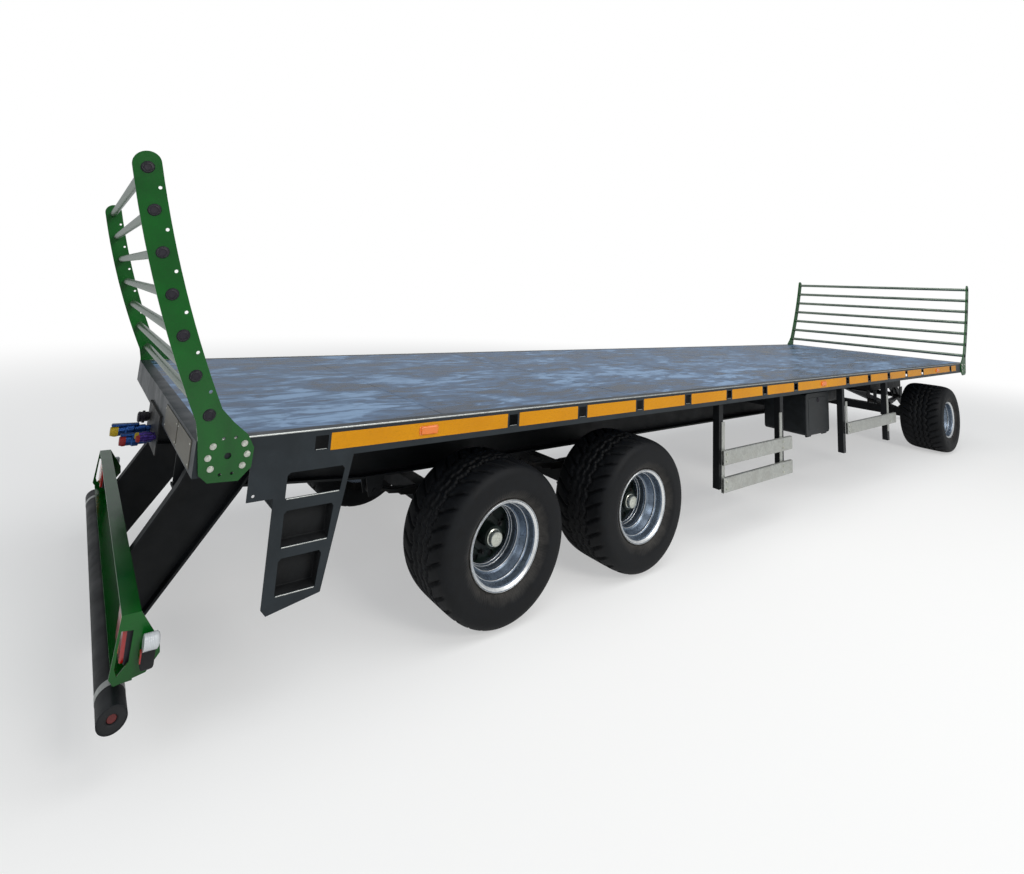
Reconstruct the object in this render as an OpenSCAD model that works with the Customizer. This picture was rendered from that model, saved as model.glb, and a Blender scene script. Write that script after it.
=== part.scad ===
// Three-axle platform trailer for round and square bales: steel floor, two curved end racks,
// tandem rear axles and a steered front axle on a turntable with its drawbar.
// Millimetres. X runs forward, Y to the left, Z up, and the ground is at Z = 0.
// Inside the modules X counts forward from the platform's rear end; in_row_frame() then
// moves everything so that the origin is under the middle of the whole trailer.

/* [Platform] */
// Length over the end beams
deck_len = 9900; // [9400:50:10400]
// Width over the side beams
deck_w = 2500; // [2300:10:2550]
// Height of the floor's upper face above the ground
deck_z = 1170; // [1165:5:1400]
// Thickness of the floor sheet and of the edge beams' walls
floor_t = 4; // [3:1:6]
// Height of a side beam
side_h = 126; // [120:2:150]
// Width of the flanges of the side and end beams
edge_w = 60; // [50:5:75]
// Height of an end beam
end_h = 140; // [126:2:160]
// Size of the square lashing slots
slot_size = 60; // [40:2:64]
// Distance from one lashing station to the next
slot_pitch = 546; // [520:2:560]
// Distance from the rear end to the middle of the first slot
slot_first = 509; // [480:5:540]

/* [Frame] */
// Distance of a main beam's web from the middle of the trailer
beam_y = 450; // [420:5:470]
// Height of a main beam's lower face above the ground
beam_low = 668; // [655:1:700]
// Height of its lower face over the dolly
beam_high = 906; // [900:2:920]
// Width of its flanges
beam_w = 120; // [100:5:140]
// Thickness of its flanges
beam_flange_t = 12; // [8:1:16]
// Thickness of its web
beam_web_t = 8; // [6:1:12]
// Height of a crossmember
cross_h = 80; // [60:5:100]
// Width of a crossmember
cross_w = 50; // [40:5:60]

/* [Wheels] */
// Outer radius of a tyre
tyre_r = 433; // [420:1:436]
// Width of a tyre
tyre_w = 491; // [440:1:500]
// Radius of the bead seat
seat_r = 215.9; // [203:0.1:229]
// Distance between the rim's flanges
rim_w = 406; // [360:1:410]
// Distance between the middles of the wheels of an axle
track = 2000; // [1980:5:2010]
// Distance from the rear end to the rearmost axle
axle_rear_x = 1625; // [1600:5:1700]
// Distance between the two rear axles
bogie_spacing = 1170; // [1150:5:1220]
// Distance from the front end back to the turntable's axis
turntable_back = 720; // [700:5:760]
// Side of the square axle beam
axle_side = 110; // [90:5:120]
// Radius of the spindle that carries a hub
spindle_r = 35; // [25:1:40]
// Running clearance between spindle and hub
spindle_gap = 0.05; // [0.02:0.01:0.1]

/* [End racks] */
// Number of rungs in a rack
rung_count = 7; // [4:1:8]
// Distance from one rung to the next
rung_pitch = 170; // [140:5:180]
// Diameter of a rung
rung_d = 42; // [34:1:48]
// Width of the curved post
post_w = 100; // [80:2:120]
// Thickness of the post plate
post_t = 12; // [8:1:14]
// Lean of the post at its lowest rung, in degrees from upright
lean_low = 24.5; // [15:0.5:30]
// Lean of the post at its highest rung
lean_high = 14; // [5:0.5:14]

/* [Drawbar] */
// Length from the hinge to the middle of the eye
drawbar_len = 1900; // [1500:10:2400]
// Height of the hinge above the ground
hinge_z = 600; // [560:5:620]
// Radius of the towing eye's bore
eye_bore_r = 25; // [20:1:30]
// Outer radius of the towing eye
eye_r = 56; // [48:1:70]
// Thickness of the towing eye
eye_t = 32; // [24:1:45]

/* [Hidden] */
FINE = 96;
// play where two curved faces of one body would touch
seat_gap = 0.3;

// ---- derived heights, widths and stations
floor_under = deck_z - floor_t;
side_low = deck_z - side_h;
end_low = deck_z - end_h;
half_w = deck_w / 2;
beam_top = floor_under - cross_h;
axle_mid_x = axle_rear_x + bogie_spacing;
turntable_x = deck_len - turntable_back;
wheel_y = track / 2;
slope_x = turntable_x - 2130;
neck_x = slope_x + 650;

// station numbers that carry a marker lamp in place of a slot
LAMP_STATIONS = [1, 9, 15];
STATIONS = [for (i = [0 : 16]) if (slot_first + i * slot_pitch < deck_len - 500) i];
SLOTS = [for (i = STATIONS) if (len(search(i, LAMP_STATIONS)) == 0) i];
slot_z = deck_z - 58;

// rack: the rungs lie on an arc that leans away from the load
rack_run = (rung_count - 1) * rung_pitch;
rack_r = rack_run * 180 / (PI * (lean_low - lean_high));
rung_base_x = 32;
rung_base_z = deck_z + 102;
function rack_lean(s) = lean_low - s / rack_r * 180 / PI;
function rack_x(s) = rung_base_x - rack_r * (cos(rack_lean(s)) - cos(lean_low));
function rack_z(s) = rung_base_z + rack_r * (sin(lean_low) - sin(rack_lean(s)));
// point of the post's outline at run s, off to one side of the arc
function post_pt(s, off) = [rack_x(s) + off * cos(rack_lean(s)), rack_z(s) + off * sin(rack_lean(s))];
post_top_run = rack_run + 15;
lobe_x = 120;
lobe_z = deck_z - 65;
lobe_hole_pcd = 146;
bolt_r = 6.5;
small_hole_r = 7;
rung_wall = 3;
rung_out = 6;

// drawbar at rest: the eye's lower edge lies on the ground
hinge_x = turntable_x + 640;
drawbar_drop = asin(hinge_z / sqrt(pow(drawbar_len + eye_r, 2) + pow(eye_t / 2, 2)))
    - atan2(eye_t / 2, drawbar_len + eye_r);
drawbar_y = 380;
drawbar_side = 80;
drawbar_wall = 8;
lug_w = 60;
lug_r = 45;
pin_r = 18;
ear_t = 14;
ear_gap = 6;
lug_back = 130;

// running gear heights
axle_z = tyre_r;
axle_top = axle_z + axle_side / 2;
seat_t = 12;
leaf_t = 12;
leaf_count = 4;
leaf_w = 70;
leaf_rise = 42;
spring_half = 480;
spring_y = beam_y;
eye_out_r = 26;
eye_pin_r = 13;
spring_low = axle_top + seat_t;
spring_eye_z = spring_low + (leaf_count - 0.5) * leaf_t + leaf_rise;
hanger_t = 8;
hanger_gap = 4;
hanger_y = leaf_w / 2 + hanger_gap;

// turntable and dolly, from the beams down
ring_in_r = 430;
ring_out_r = 520;
ring_plate_t = 10;
ring_h = 24;
ring_gap = 0.5;
upper_ring_low = beam_high - ring_plate_t - ring_h;
lower_ring_top = upper_ring_low - ring_gap;
dolly_top = lower_ring_top - ring_h;
dolly_h = 120;
dolly_low = dolly_top - dolly_h;
dolly_w = 70;
dolly_t = 8;
dolly_back = 600;
dolly_front = hinge_x - turntable_x - lug_back;

// wheel: distances along its axis count outwards from the rim's middle
flange_h = 22;
flange_t = 12;
rim_t = 8;
well_r = 178;
disc_a = -15;
disc_t = 14;
drum_r = 160;
drum_len = 110;
hub_r = 62;
hub_nose = 128;
drum_back_a = disc_a - drum_len;

// rear underrun
tube_x = -150;
tube_z = 240;
tube_r = 48;
tube_wall = 5;
arm_t = 8;
arm_flange = 60;
arm_foot_x = -90;
carrier_top = 560;
carrier_low = 323;
carrier_rear_x = -160;
carrier_front_x = -98;
carrier_t = 6;
carrier_y = half_w - 50;

// ladder, side guards and toolbox
ladder_t = 5;
ladder_low = side_low - 604;
guard_t = 25;
plank_h = 110;
guard_y = half_w - guard_t;
guard_post = 55;
guard_post_low = 400;
upright_t = 6;
upright_w = 42;
upright_top = 900;
guard_rear_x = axle_mid_x + 915;
guard_front_x = turntable_x - 3220;
box_x = turntable_x - 3860;
box_w = 490;
box_low = 602;
box_h = 400;
box_y = half_w - 150;
box_deep = 400;
box_wall = 5;
lid_t = 26;
lid_gap = 0.5;
hinge_pin_r = 5;
knuckle_r = 9;
knuckle_w = 40;
lid_hinge_y = box_y + lid_gap / 2;
lid_hinge_z = box_low - knuckle_r - lid_gap;

// front and rear ends of the whole trailer, and the middle between them
rearmost = post_pt(post_top_run, 0)[0] - post_w / 2;
foremost = hinge_x + (drawbar_len + eye_r) * cos(drawbar_drop) + eye_t / 2 * sin(drawbar_drop);
x_mid = (rearmost + foremost) / 2;

// ---- helpers

module in_row_frame() {
    translate([-x_mid, 0, 0]) children();
}

// box from its lowest to its highest corner
module block(low, high) {
    translate(low) cube([high[0] - low[0], high[1] - low[1], high[2] - low[2]]);
}

// extrudes an outline drawn in X and Z from y0 to y1
module across(y0, y1) {
    translate([0, y1, 0]) rotate([90, 0, 0]) linear_extrude(height = y1 - y0) children();
}

// extrudes an outline drawn in Y and Z from x0 to x1
module along(x0, x1) {
    translate([x0, 0, 0]) rotate([90, 0, 90]) linear_extrude(height = x1 - x0) children();
}

// round bar along Y between y0 and y1
module bar_y(x, z, r, y0, y1) {
    translate([x, y1, z]) rotate([90, 0, 0]) cylinder(r = r, h = y1 - y0, $fn = FINE);
}

module mirrored(side) {
    if (side > 0) children();
    else mirror([0, 1, 0]) children();
}

// draws the front end's copy of something at the rear end
module front_end(is_front) {
    if (is_front) translate([deck_len, 0, 0]) mirror([1, 0, 0]) children();
    else children();
}

// ---- platform

module deck_plate() {
    color("#5f7486") in_row_frame()
        block([edge_w, -half_w + edge_w, floor_under], [deck_len - edge_w, half_w - edge_w, deck_z]);
}

// The side beam is a channel, open towards the middle. Its upper angle reaches down to the
// lashing slots, its lower angle up to them, and between the slots its web joins the two.
slot_top = slot_z + slot_size / 2;
slot_low = slot_z - slot_size / 2;

module side_beam(side) {
    color("#2b3136") in_row_frame() mirrored(side) along(edge_w, deck_len - edge_w) polygon([
        [half_w, slot_top], [half_w, deck_z], [half_w - edge_w, deck_z],
        [half_w - edge_w, floor_under], [half_w - floor_t, floor_under],
        [half_w - floor_t, slot_top]]);
}

module side_beam_lip(side) {
    color("#2b3136") in_row_frame() mirrored(side) along(edge_w, deck_len - edge_w) polygon([
        [half_w, side_low], [half_w, slot_low], [half_w - floor_t, slot_low],
        [half_w - floor_t, side_low + floor_t], [half_w - edge_w, side_low + floor_t],
        [half_w - edge_w, side_low]]);
}

module side_beam_web(side) {
    edges = concat([edge_w], [for (i = SLOTS, e = [-1, 1]) slot_first + i * slot_pitch
        + e * slot_size / 2], [deck_len - edge_w]);
    color("#2b3136") in_row_frame() mirrored(side) for (k = [0 : 2 : len(edges) - 2])
        block([edges[k], half_w - floor_t, slot_low], [edges[k + 1], half_w, slot_top]);
}

// folded channel across the end, closed at both sides
module end_beam(is_front) {
    color("#2b3136") in_row_frame() front_end(is_front) {
        across(-half_w, half_w) polygon([
            [0, end_low], [0, deck_z], [edge_w, deck_z], [edge_w, floor_under],
            [floor_t, floor_under], [floor_t, end_low + floor_t], [edge_w, end_low + floor_t],
            [edge_w, end_low]]);
        for (s = [-1, 1])
            mirrored(s) block([0, half_w - floor_t, end_low], [edge_w, half_w, deck_z]);
    }
}

// one channel halfway between each pair of lashing stations, and one near each end
module crossmembers() {
    color("#22272b") in_row_frame()
        for (x = concat([slot_first - slot_pitch / 2],
                [for (i = STATIONS) slot_first + (i + 0.5) * slot_pitch]))
            across(-half_w + floor_t, half_w - floor_t) translate([x, beam_top]) polygon([
                [0, 0], [cross_w, 0], [cross_w, floor_t], [floor_t, floor_t],
                [floor_t, cross_h - floor_t], [cross_w, cross_h - floor_t], [cross_w, cross_h],
                [0, cross_h]]);
}

// welded I-beam over the lower outline low, a list of points from its rear to its front
module welded_beam(side, low) {
    last = len(low) - 1;
    lifted = [for (p = [last : -1 : 0]) [low[p][0], low[p][1] + beam_flange_t]];
    color("#1d2124") in_row_frame() mirrored(side) translate([0, beam_y, 0]) {
        across(-beam_web_t / 2, beam_web_t / 2)
            polygon(concat(low, [[low[last][0], beam_top], [low[0][0], beam_top]]));
        across(-beam_w / 2, beam_w / 2) polygon(concat(low, lifted));
        block([low[0][0], -beam_w / 2, beam_top - beam_flange_t],
            [low[last][0], beam_w / 2, beam_top]);
    }
}

// deep beam up to the slope, and the shallow neck over the dolly
module main_beam(side) {
    welded_beam(side, [[edge_w, beam_low + 90], [1050, beam_low], [slope_x, beam_low],
        [neck_x, beam_high]]);
}

module neck_beam(side) {
    welded_beam(side, [[neck_x, beam_high], [deck_len - edge_w, beam_high]]);
}

// ---- end racks

// curved plate with a round top and a bolted lobe at its foot
module rack_post(side, is_front) {
    steps = 2 * rung_count;
    runs = [for (i = [0 : steps]) post_top_run * i / steps];
    arc_front = [for (s = runs) post_pt(s, post_w / 2)];
    arc_rear = [for (i = [steps : -1 : 0]) post_pt(runs[i], -post_w / 2)];
    color("#0b5a22") in_row_frame() front_end(is_front) mirrored(side) difference() {
        across(half_w, half_w + post_t) union() {
            polygon(concat(arc_front, arc_rear, [
                [0, lobe_z + 85], [20, lobe_z - 62], [55, lobe_z - 96], [170, lobe_z - 102],
                [215, lobe_z - 55], [218, lobe_z + 22], [188, lobe_z + 78], [130, lobe_z + 130]]));
            translate(post_pt(post_top_run, 0)) circle(r = post_w / 2, $fn = FINE);
        }
        for (i = [0 : rung_count - 1])
            bar_y(rack_x(i * rung_pitch), rack_z(i * rung_pitch), rung_d / 2 + seat_gap,
                half_w - 1, half_w + post_t + 1);
        for (i = [0 : rung_count - 2]) {
            p = post_pt((i + 0.5) * rung_pitch, post_w / 2 - 18);
            bar_y(p[0], p[1], small_hole_r, half_w - 1, half_w + post_t + 1);
        }
        for (a = [72, 108, 252, 288])
            bar_y(lobe_x + lobe_hole_pcd / 2 * cos(a), lobe_z + lobe_hole_pcd / 2 * sin(a), bolt_r,
                half_w - 1, half_w + post_t + 1);
        bar_y(lobe_x, lobe_z, 2 * bolt_r, half_w - 1, half_w + post_t + 1);
    }
}

// tubes from post to post, their ends a little proud of the plates
module rack_rungs(is_front) {
    reach = half_w + post_t + rung_out;
    color("#b9c4b4") in_row_frame() front_end(is_front)
        for (i = [0 : rung_count - 1]) difference() {
            bar_y(rack_x(i * rung_pitch), rack_z(i * rung_pitch), rung_d / 2, -reach, reach);
            bar_y(rack_x(i * rung_pitch), rack_z(i * rung_pitch), rung_d / 2 - rung_wall,
                -reach - 1, reach + 1);
        }
}

// ---- ladder at the right, behind the rear wheels

// step windows: rear X, front X, and how far the lower and the upper edge lie under the beam
WINDOW_PLACES = [[373, 615, 149, 44], [375, 578, 344, 199], [372, 542, 534, 389]];
LADDER_WINDOWS = [for (w = WINDOW_PLACES) [w[0], w[1], side_low - w[2], side_low - w[3]]];
step_deep = 80;

module ladder() {
    color("#3a4046") in_row_frame() mirrored(-1) {
        difference() {
            across(half_w - ladder_t, half_w) difference() {
                polygon([[323, side_low], [665, side_low], [568, ladder_low + 40], [345, ladder_low],
                    [323, ladder_low + 28]]);
                for (w = LADDER_WINDOWS)
                    polygon([[w[0], w[2]], [w[1], w[2]], [w[1] + 14, w[3] - 14], [w[1] + 4, w[3]],
                        [w[0] + 12, w[3]], [w[0], w[3] - 12]]);
            }
        }
        // pocket behind each of the two lower windows: a tread, a back and two cheeks
        for (i = [1, 2]) {
            w = LADDER_WINDOWS[i];
            x0 = w[0] - 22;
            x1 = w[1] + 18;
            y0 = half_w - ladder_t - step_deep;
            y1 = half_w - ladder_t;
            block([x0, y0, w[2] - floor_t], [x1, y1, w[2]]);
            block([x0, y0, w[2]], [x1, y0 + floor_t, w[3] + 6]);
            block([x0, y0 + floor_t, w[2]], [x0 + floor_t, y1, w[3] + 6]);
            block([x1 - floor_t, y0 + floor_t, w[2]], [x1, y1, w[3] + 6]);
        }
        // fixing ear behind the ladder's upper end, with its one hole
        difference() {
            block([215, half_w - ladder_t, side_low - 140], [323, half_w, side_low]);
            bar_y(240, side_low - 118, bolt_r, half_w - 10, half_w + 1);
        }
        // stay from the ladder in to the frame
        across(half_w - 200, half_w - ladder_t) polygon([
            [323, side_low - 184], [331, side_low - 184], [331, side_low], [323, side_low]]);
    }
}

// ---- side guards: black posts hang from the side beam, galvanised uprights lie on the posts
// and carry the planks, two behind and one in front

// plank's rear X, front X and lower height
PLANKS = [[guard_rear_x, guard_rear_x + 1080, 378], [guard_rear_x, guard_rear_x + 1080, 580],
    [guard_front_x - 20, guard_front_x + 1260, 585]];
// post's rear X, and its upright's rear X and lower height
GUARD_POSTS = [[guard_rear_x - 20, guard_rear_x + 10, 378],
    [guard_rear_x + 930, guard_rear_x + 910, 378],
    [guard_front_x - 60, guard_front_x, 585], [guard_front_x + 1080, guard_front_x + 1080, 500]];

module side_guard_posts() {
    color("#1b1e20") in_row_frame() for (s = [-1, 1], p = GUARD_POSTS) mirrored(s)
        block([p[0], guard_y - upright_t - guard_post, guard_post_low],
            [p[0] + guard_post, guard_y - upright_t, side_low]);
}

module side_guard_uprights() {
    color("#acaea8") in_row_frame() for (s = [-1, 1], p = GUARD_POSTS) mirrored(s)
        block([p[1], guard_y - upright_t, p[2]], [p[1] + upright_w, guard_y, upright_top]);
}

module side_guard_planks() {
    color("#acaea8") in_row_frame() for (s = [-1, 1], p = PLANKS) mirrored(s)
        block([p[0], guard_y, p[2]], [p[1], half_w, p[2] + plank_h]);
}

// ---- toolbox with a lid that folds down

// round bar along X from x0 to x1, on the lid's hinge line
module hinge_bar(r, x0, x1) {
    translate([x0, lid_hinge_y, lid_hinge_z]) rotate([0, 90, 0]) cylinder(r = r, h = x1 - x0, $fn = FINE);
}

// rear X of the lid's two knuckles; the box's own lugs stand just outside them
LID_KNUCKLES = [box_x + 60, box_x + box_w - 60 - knuckle_w];

module toolbox() {
    color("#202326") in_row_frame() mirrored(-1) {
        for (x = LID_KNUCKLES) {
            hinge_bar(hinge_pin_r, x - 20, x + knuckle_w + 20);
            for (lug = [x - 21, x + knuckle_w + 1]) {
                hinge_bar(knuckle_r, lug, lug + 20);
                block([lug, box_y - 20, lid_hinge_z - knuckle_r], [lug + 20, box_y, box_low]);
            }
        }
        difference() {
            block([box_x, box_y - box_deep, box_low], [box_x + box_w, box_y, box_low + box_h]);
            block([box_x + box_wall, box_y - box_deep + box_wall, box_low + box_wall],
                [box_x + box_w - box_wall, box_y + 1, box_low + box_h - box_wall]);
        }
        // brackets out from the main beam
        for (x = [box_x + 60, box_x + box_w - 110])
            block([x, beam_y + beam_web_t / 2, box_low + 200],
                [x + 50, box_y - box_deep, box_low + 260]);
    }
}

module toolbox_lid() {
    color("#26292c") in_row_frame() mirrored(-1) {
        difference() {
            block([box_x, box_y + lid_gap, box_low],
                [box_x + box_w, box_y + lid_gap + lid_t, box_low + box_h]);
            block([box_x + box_wall, box_y, box_low + box_wall],
                [box_x + box_w - box_wall, box_y + lid_gap + lid_t - box_wall,
                box_low + box_h - box_wall]);
        }
        for (x = LID_KNUCKLES) difference() {
            union() {
                hinge_bar(knuckle_r, x, x + knuckle_w);
                block([x, box_y + lid_gap, lid_hinge_z], [x + knuckle_w, lid_hinge_y + knuckle_r, box_low]);
            }
            hinge_bar(hinge_pin_r + seat_gap, x - 1, x + knuckle_w + 1);
        }
        // lock housing
        translate([box_x + box_w / 2, box_y + lid_gap + lid_t, box_low + box_h - 75])
            rotate([-90, 0, 0]) cylinder(r = 24, h = 10, $fn = FINE);
    }
}

// ---- rear underrun guard and its lamps

module underrun_arms() {
    y0 = beam_y + beam_w / 2;
    outline = [[195, beam_top], [570, beam_top], [362, 738], [-20, 200], [arm_foot_x, 172],
        [arm_foot_x, 535], [71, 804]];
    toe_x = tube_x + tube_r;
    color("#25292c") in_row_frame() for (s = [-1, 1]) mirrored(s) {
        across(y0, y0 + arm_t) polygon(outline);
        // toe that reaches back to the tube, below the lamp carrier
        across(y0, y0 + arm_t)
            polygon([[arm_foot_x, 172], [toe_x, 180], [toe_x, 310], [arm_foot_x, 318]]);
        // flange along the front edge and along the rear edge
        across(y0 + arm_t, y0 + arm_flange) {
            polygon([outline[1], outline[2], outline[3], [-30, 207], [352, 745], [560, beam_top]]);
            polygon([outline[5], outline[6], outline[0], [203, beam_top], [81, 800],
                [arm_foot_x + 8, 535], [arm_foot_x + 8, 172], outline[4]]);
        }
    }
}

module underrun_tube() {
    color("#15181a") in_row_frame() difference() {
        bar_y(tube_x, tube_z, tube_r, -half_w, half_w);
        bar_y(tube_x, tube_z, tube_r - tube_wall, -half_w - 1, half_w + 1);
    }
}

// channel that is open to the rear, with a cut-out plate at each end
module lamp_carrier() {
    color("#116b2a") in_row_frame() {
        across(-carrier_y + carrier_t, carrier_y - carrier_t) polygon([
            [carrier_rear_x, carrier_top], [carrier_front_x, carrier_top],
            [carrier_front_x, carrier_low], [carrier_rear_x, carrier_low],
            [carrier_rear_x, carrier_low + carrier_t], [carrier_front_x - carrier_t, carrier_low + carrier_t],
            [carrier_front_x - carrier_t, carrier_top - carrier_t], [carrier_rear_x, carrier_top - carrier_t]]);
        for (s = [-1, 1]) mirrored(s) across(carrier_y - carrier_t, carrier_y) difference() {
            polygon([[carrier_rear_x, carrier_top], [carrier_front_x, carrier_top], [-24, 440],
                [-18, 396], [-58, 340], [carrier_rear_x + 5, carrier_low], [-174, 350]]);
            polygon([[-155, 506], [-115, 500], [-118, 393], [-150, 352], [-160, 380]]);
        }
        // feet on the two underrun arms
        for (s = [-1, 1]) mirrored(s)
            block([carrier_front_x, beam_y + beam_w / 2 + 10, 400],
                [arm_foot_x, beam_y + beam_w / 2 + 50, 500]);
    }
}

module tail_lamps() {
    color("#a01818") in_row_frame() for (s = [-1, 1]) mirrored(s)
        block([-146, carrier_y - 240, 372], [carrier_front_x - carrier_t, carrier_y - 20, 512]);
}

// lamp on a rubber stalk at each end of the carrier
module outline_lamps() {
    color("#2a2c2e") in_row_frame() for (s = [-1, 1]) mirrored(s) {
        block([-84, carrier_y, 368], [-40, carrier_y + 44, 442]);
        translate([-88, carrier_y + 40, 465]) rotate([0, 90, 0]) cylinder(r = 30, h = 58, $fn = FINE);
    }
}

module side_marker_lamps() {
    color("#d9731a") in_row_frame() for (s = [-1, 1], i = LAMP_STATIONS) mirrored(s)
        block([slot_first + i * slot_pitch - 55, half_w, slot_z - 22],
            [slot_first + i * slot_pitch + 55, half_w + 12, slot_z + 22]);
}

// ---- couplings for a second trailer, and blank plates

head_z = end_low - 45;
panel_x = -12;
// Y place, Z place, radius and length of each coupling head
HEADS = [[-215, head_z - 30, 20, 90], [-150, head_z - 30, 20, 90], [-60, head_z - 70, 32, 150],
    [45, head_z - 40, 32, 190], [150, head_z + 5, 34, 60]];

module coupling_panel() {
    color("#6f7a86") in_row_frame() difference() {
        union() {
            block([panel_x, -260, end_low - 160], [panel_x + 6, 220, end_low]);
            block([panel_x, -260, end_low], [0, 220, end_low + 40]);
        }
        for (h = HEADS)
            translate([panel_x - 1, h[0], h[1]]) rotate([0, 90, 0])
                cylinder(r = h[2] / 2 + seat_gap, h = 20, $fn = FINE);
    }
}

module coupling_heads() {
    color("#3a4a8a") in_row_frame() for (h = HEADS) translate([panel_x, h[0], h[1]]) {
        rotate([0, -90, 0]) cylinder(r = h[2], h = h[3], $fn = FINE);
        rotate([0, 90, 0]) cylinder(r = h[2] / 2, h = 40, $fn = FINE);
    }
}

module blank_plates() {
    color("#c8ccd0") in_row_frame() {
        block([-3, -780, end_low + 12], [0, -380, deck_z - 15]);
        block([-3, -1160, end_low + 12], [0, -800, deck_z - 15]);
    }
}

// ---- air tank beside the right main beam

tank_back = turntable_x - 2730;
tank_len = 600;
tank_r = 110;
tank_y = beam_y + beam_w / 2 + tank_r + 20;
tank_z = 850;

module air_tank() {
    color("#3b3330") in_row_frame() mirrored(-1) {
        translate([tank_back, tank_y, tank_z]) rotate([0, 90, 0])
            cylinder(r = tank_r, h = tank_len, $fn = FINE);
        for (x = [tank_back + 100, tank_back + tank_len - 140])
            block([x, beam_y + beam_web_t / 2, tank_z - 30], [x + 40, tank_y, tank_z + 30]);
    }
}

// ---- springs, hangers and axles

// half the length of leaf k, where leaf 0 is the lowest; the longest one ends inside its eyes
function leaf_half(k) = (spring_half - 0.8 * eye_out_r) * (0.45 + 0.55 * k / (leaf_count - 1));
// height of the arch over its middle, at a distance u from it
function arch(u) = leaf_rise * pow(u / spring_half, 2);
// stepped lower edge from the end of the longest leaf to the middle
function leaf_edge(side) = [for (k = [leaf_count - 1 : -1 : 0], j = [0 : 3])
    let (inner = k > 0 ? leaf_half(k - 1) : 0, u = leaf_half(k) + (inner - leaf_half(k)) * j / 3)
    [side * u, k * leaf_t + arch(u)]];

// arched pack of leaves, the longest on top, with an eye at each end of the longest
module leaf_pack(x, y) {
    steps = 8;
    right = leaf_edge(1);
    top = [for (i = [steps : -1 : -steps]) let (u = leaf_half(leaf_count - 1) * i / steps)
        [u, leaf_count * leaf_t + arch(u)]];
    translate([x, y, spring_low]) difference() {
        union() {
            across(-leaf_w / 2, leaf_w / 2)
                polygon(concat(leaf_edge(-1), [for (i = [len(right) - 2 : -1 : 0]) right[i]], top));
            for (s = [-1, 1])
                bar_y(s * spring_half, spring_eye_z - spring_low, eye_out_r, -leaf_w / 2, leaf_w / 2);
        }
        for (s = [-1, 1])
            bar_y(s * spring_half, spring_eye_z - spring_low, eye_pin_r + seat_gap, -leaf_w, leaf_w);
    }
}

// two cheeks from height top down past a spring's eye, and the pin through them
module hanger(x, y, top, half_gap) {
    for (s = [-1, 1]) translate([x, y, 0]) mirrored(s)
        across(half_gap, half_gap + hanger_t)
            polygon([[-60, top], [60, top], [34, spring_eye_z - 30], [-34, spring_eye_z - 30]]);
    translate([0, y, 0])
        bar_y(x, spring_eye_z, eye_pin_r, -half_gap - hanger_t - 8, half_gap + hanger_t + 8);
}

module bogie_hangers() {
    color("#1d2124") in_row_frame() for (s = [-1, 1]) {
        hanger(axle_rear_x - spring_half, s * spring_y, beam_low, hanger_y);
        hanger(axle_mid_x + spring_half, s * spring_y, beam_low, hanger_y);
        // middle hanger, outside the rocker's cheeks
        hanger((axle_rear_x + axle_mid_x) / 2, s * spring_y, beam_low, hanger_y + hanger_t + 2);
    }
}

// balance rocker between the two springs of a side
module bogie_rockers() {
    mid = (axle_rear_x + axle_mid_x) / 2;
    reach = bogie_spacing / 2 - spring_half;
    color("#2c3236") in_row_frame() for (s = [-1, 1]) translate([mid, s * spring_y, 0]) {
        for (c = [-1, 1]) mirrored(c) across(hanger_y, hanger_y + hanger_t) difference() {
            polygon([[-reach - 30, spring_eye_z - 25], [-30, spring_eye_z - 38], [30, spring_eye_z - 38],
                [reach + 30, spring_eye_z - 25], [reach + 30, spring_eye_z + 25],
                [30, spring_eye_z + 38], [-30, spring_eye_z + 38], [-reach - 30, spring_eye_z + 25]]);
            translate([0, spring_eye_z]) circle(r = eye_pin_r + seat_gap, $fn = FINE);
        }
        for (c = [-1, 1])
            bar_y(c * reach, spring_eye_z, eye_pin_r, -hanger_y, hanger_y);
    }
}

module rear_leaf_springs() {
    color("#2f3335") in_row_frame() for (x = [axle_rear_x, axle_mid_x], s = [-1, 1])
        leaf_pack(x, s * spring_y);
}

module front_leaf_springs() {
    color("#2f3335") in_row_frame() for (s = [-1, 1]) leaf_pack(turntable_x, s * spring_y);
}

// square beam with spring seats, brake plates and a round spindle at each end
module axle(x) {
    half = axle_side / 2;
    shoulder = wheel_y + drum_back_a - 22;
    color("#1f2326") in_row_frame() translate([x, 0, axle_z]) {
        block([-half, -shoulder, -half], [half, shoulder, half]);
        for (s = [-1, 1]) mirrored(s) {
            block([-half, spring_y - 45, half], [half, spring_y + 45, half + seat_t]);
            bar_y(0, 0, drum_r + 6, shoulder, shoulder + 10);
            bar_y(0, 0, spindle_r, shoulder + 10, wheel_y + hub_nose - 40);
        }
    }
}

// ---- turntable and dolly

module ring(low, height) {
    translate([turntable_x, 0, low]) rotate_extrude($fn = 2 * FINE)
        translate([ring_in_r, 0]) square([ring_out_r - ring_in_r, height]);
}

module turntable_upper() {
    color("#1d2124") in_row_frame() {
        ring(upper_ring_low, ring_h);
        difference() {
            block([turntable_x - ring_out_r, -ring_out_r, beam_high - ring_plate_t],
                [turntable_x + ring_out_r, ring_out_r, beam_high]);
            translate([turntable_x, 0, beam_high - 2 * ring_plate_t])
                cylinder(r = ring_in_r - 40, h = 3 * ring_plate_t, $fn = 2 * FINE);
        }
    }
}

module turntable_lower() {
    color("#2c3236") in_row_frame() ring(dolly_top, ring_h);
}

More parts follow.
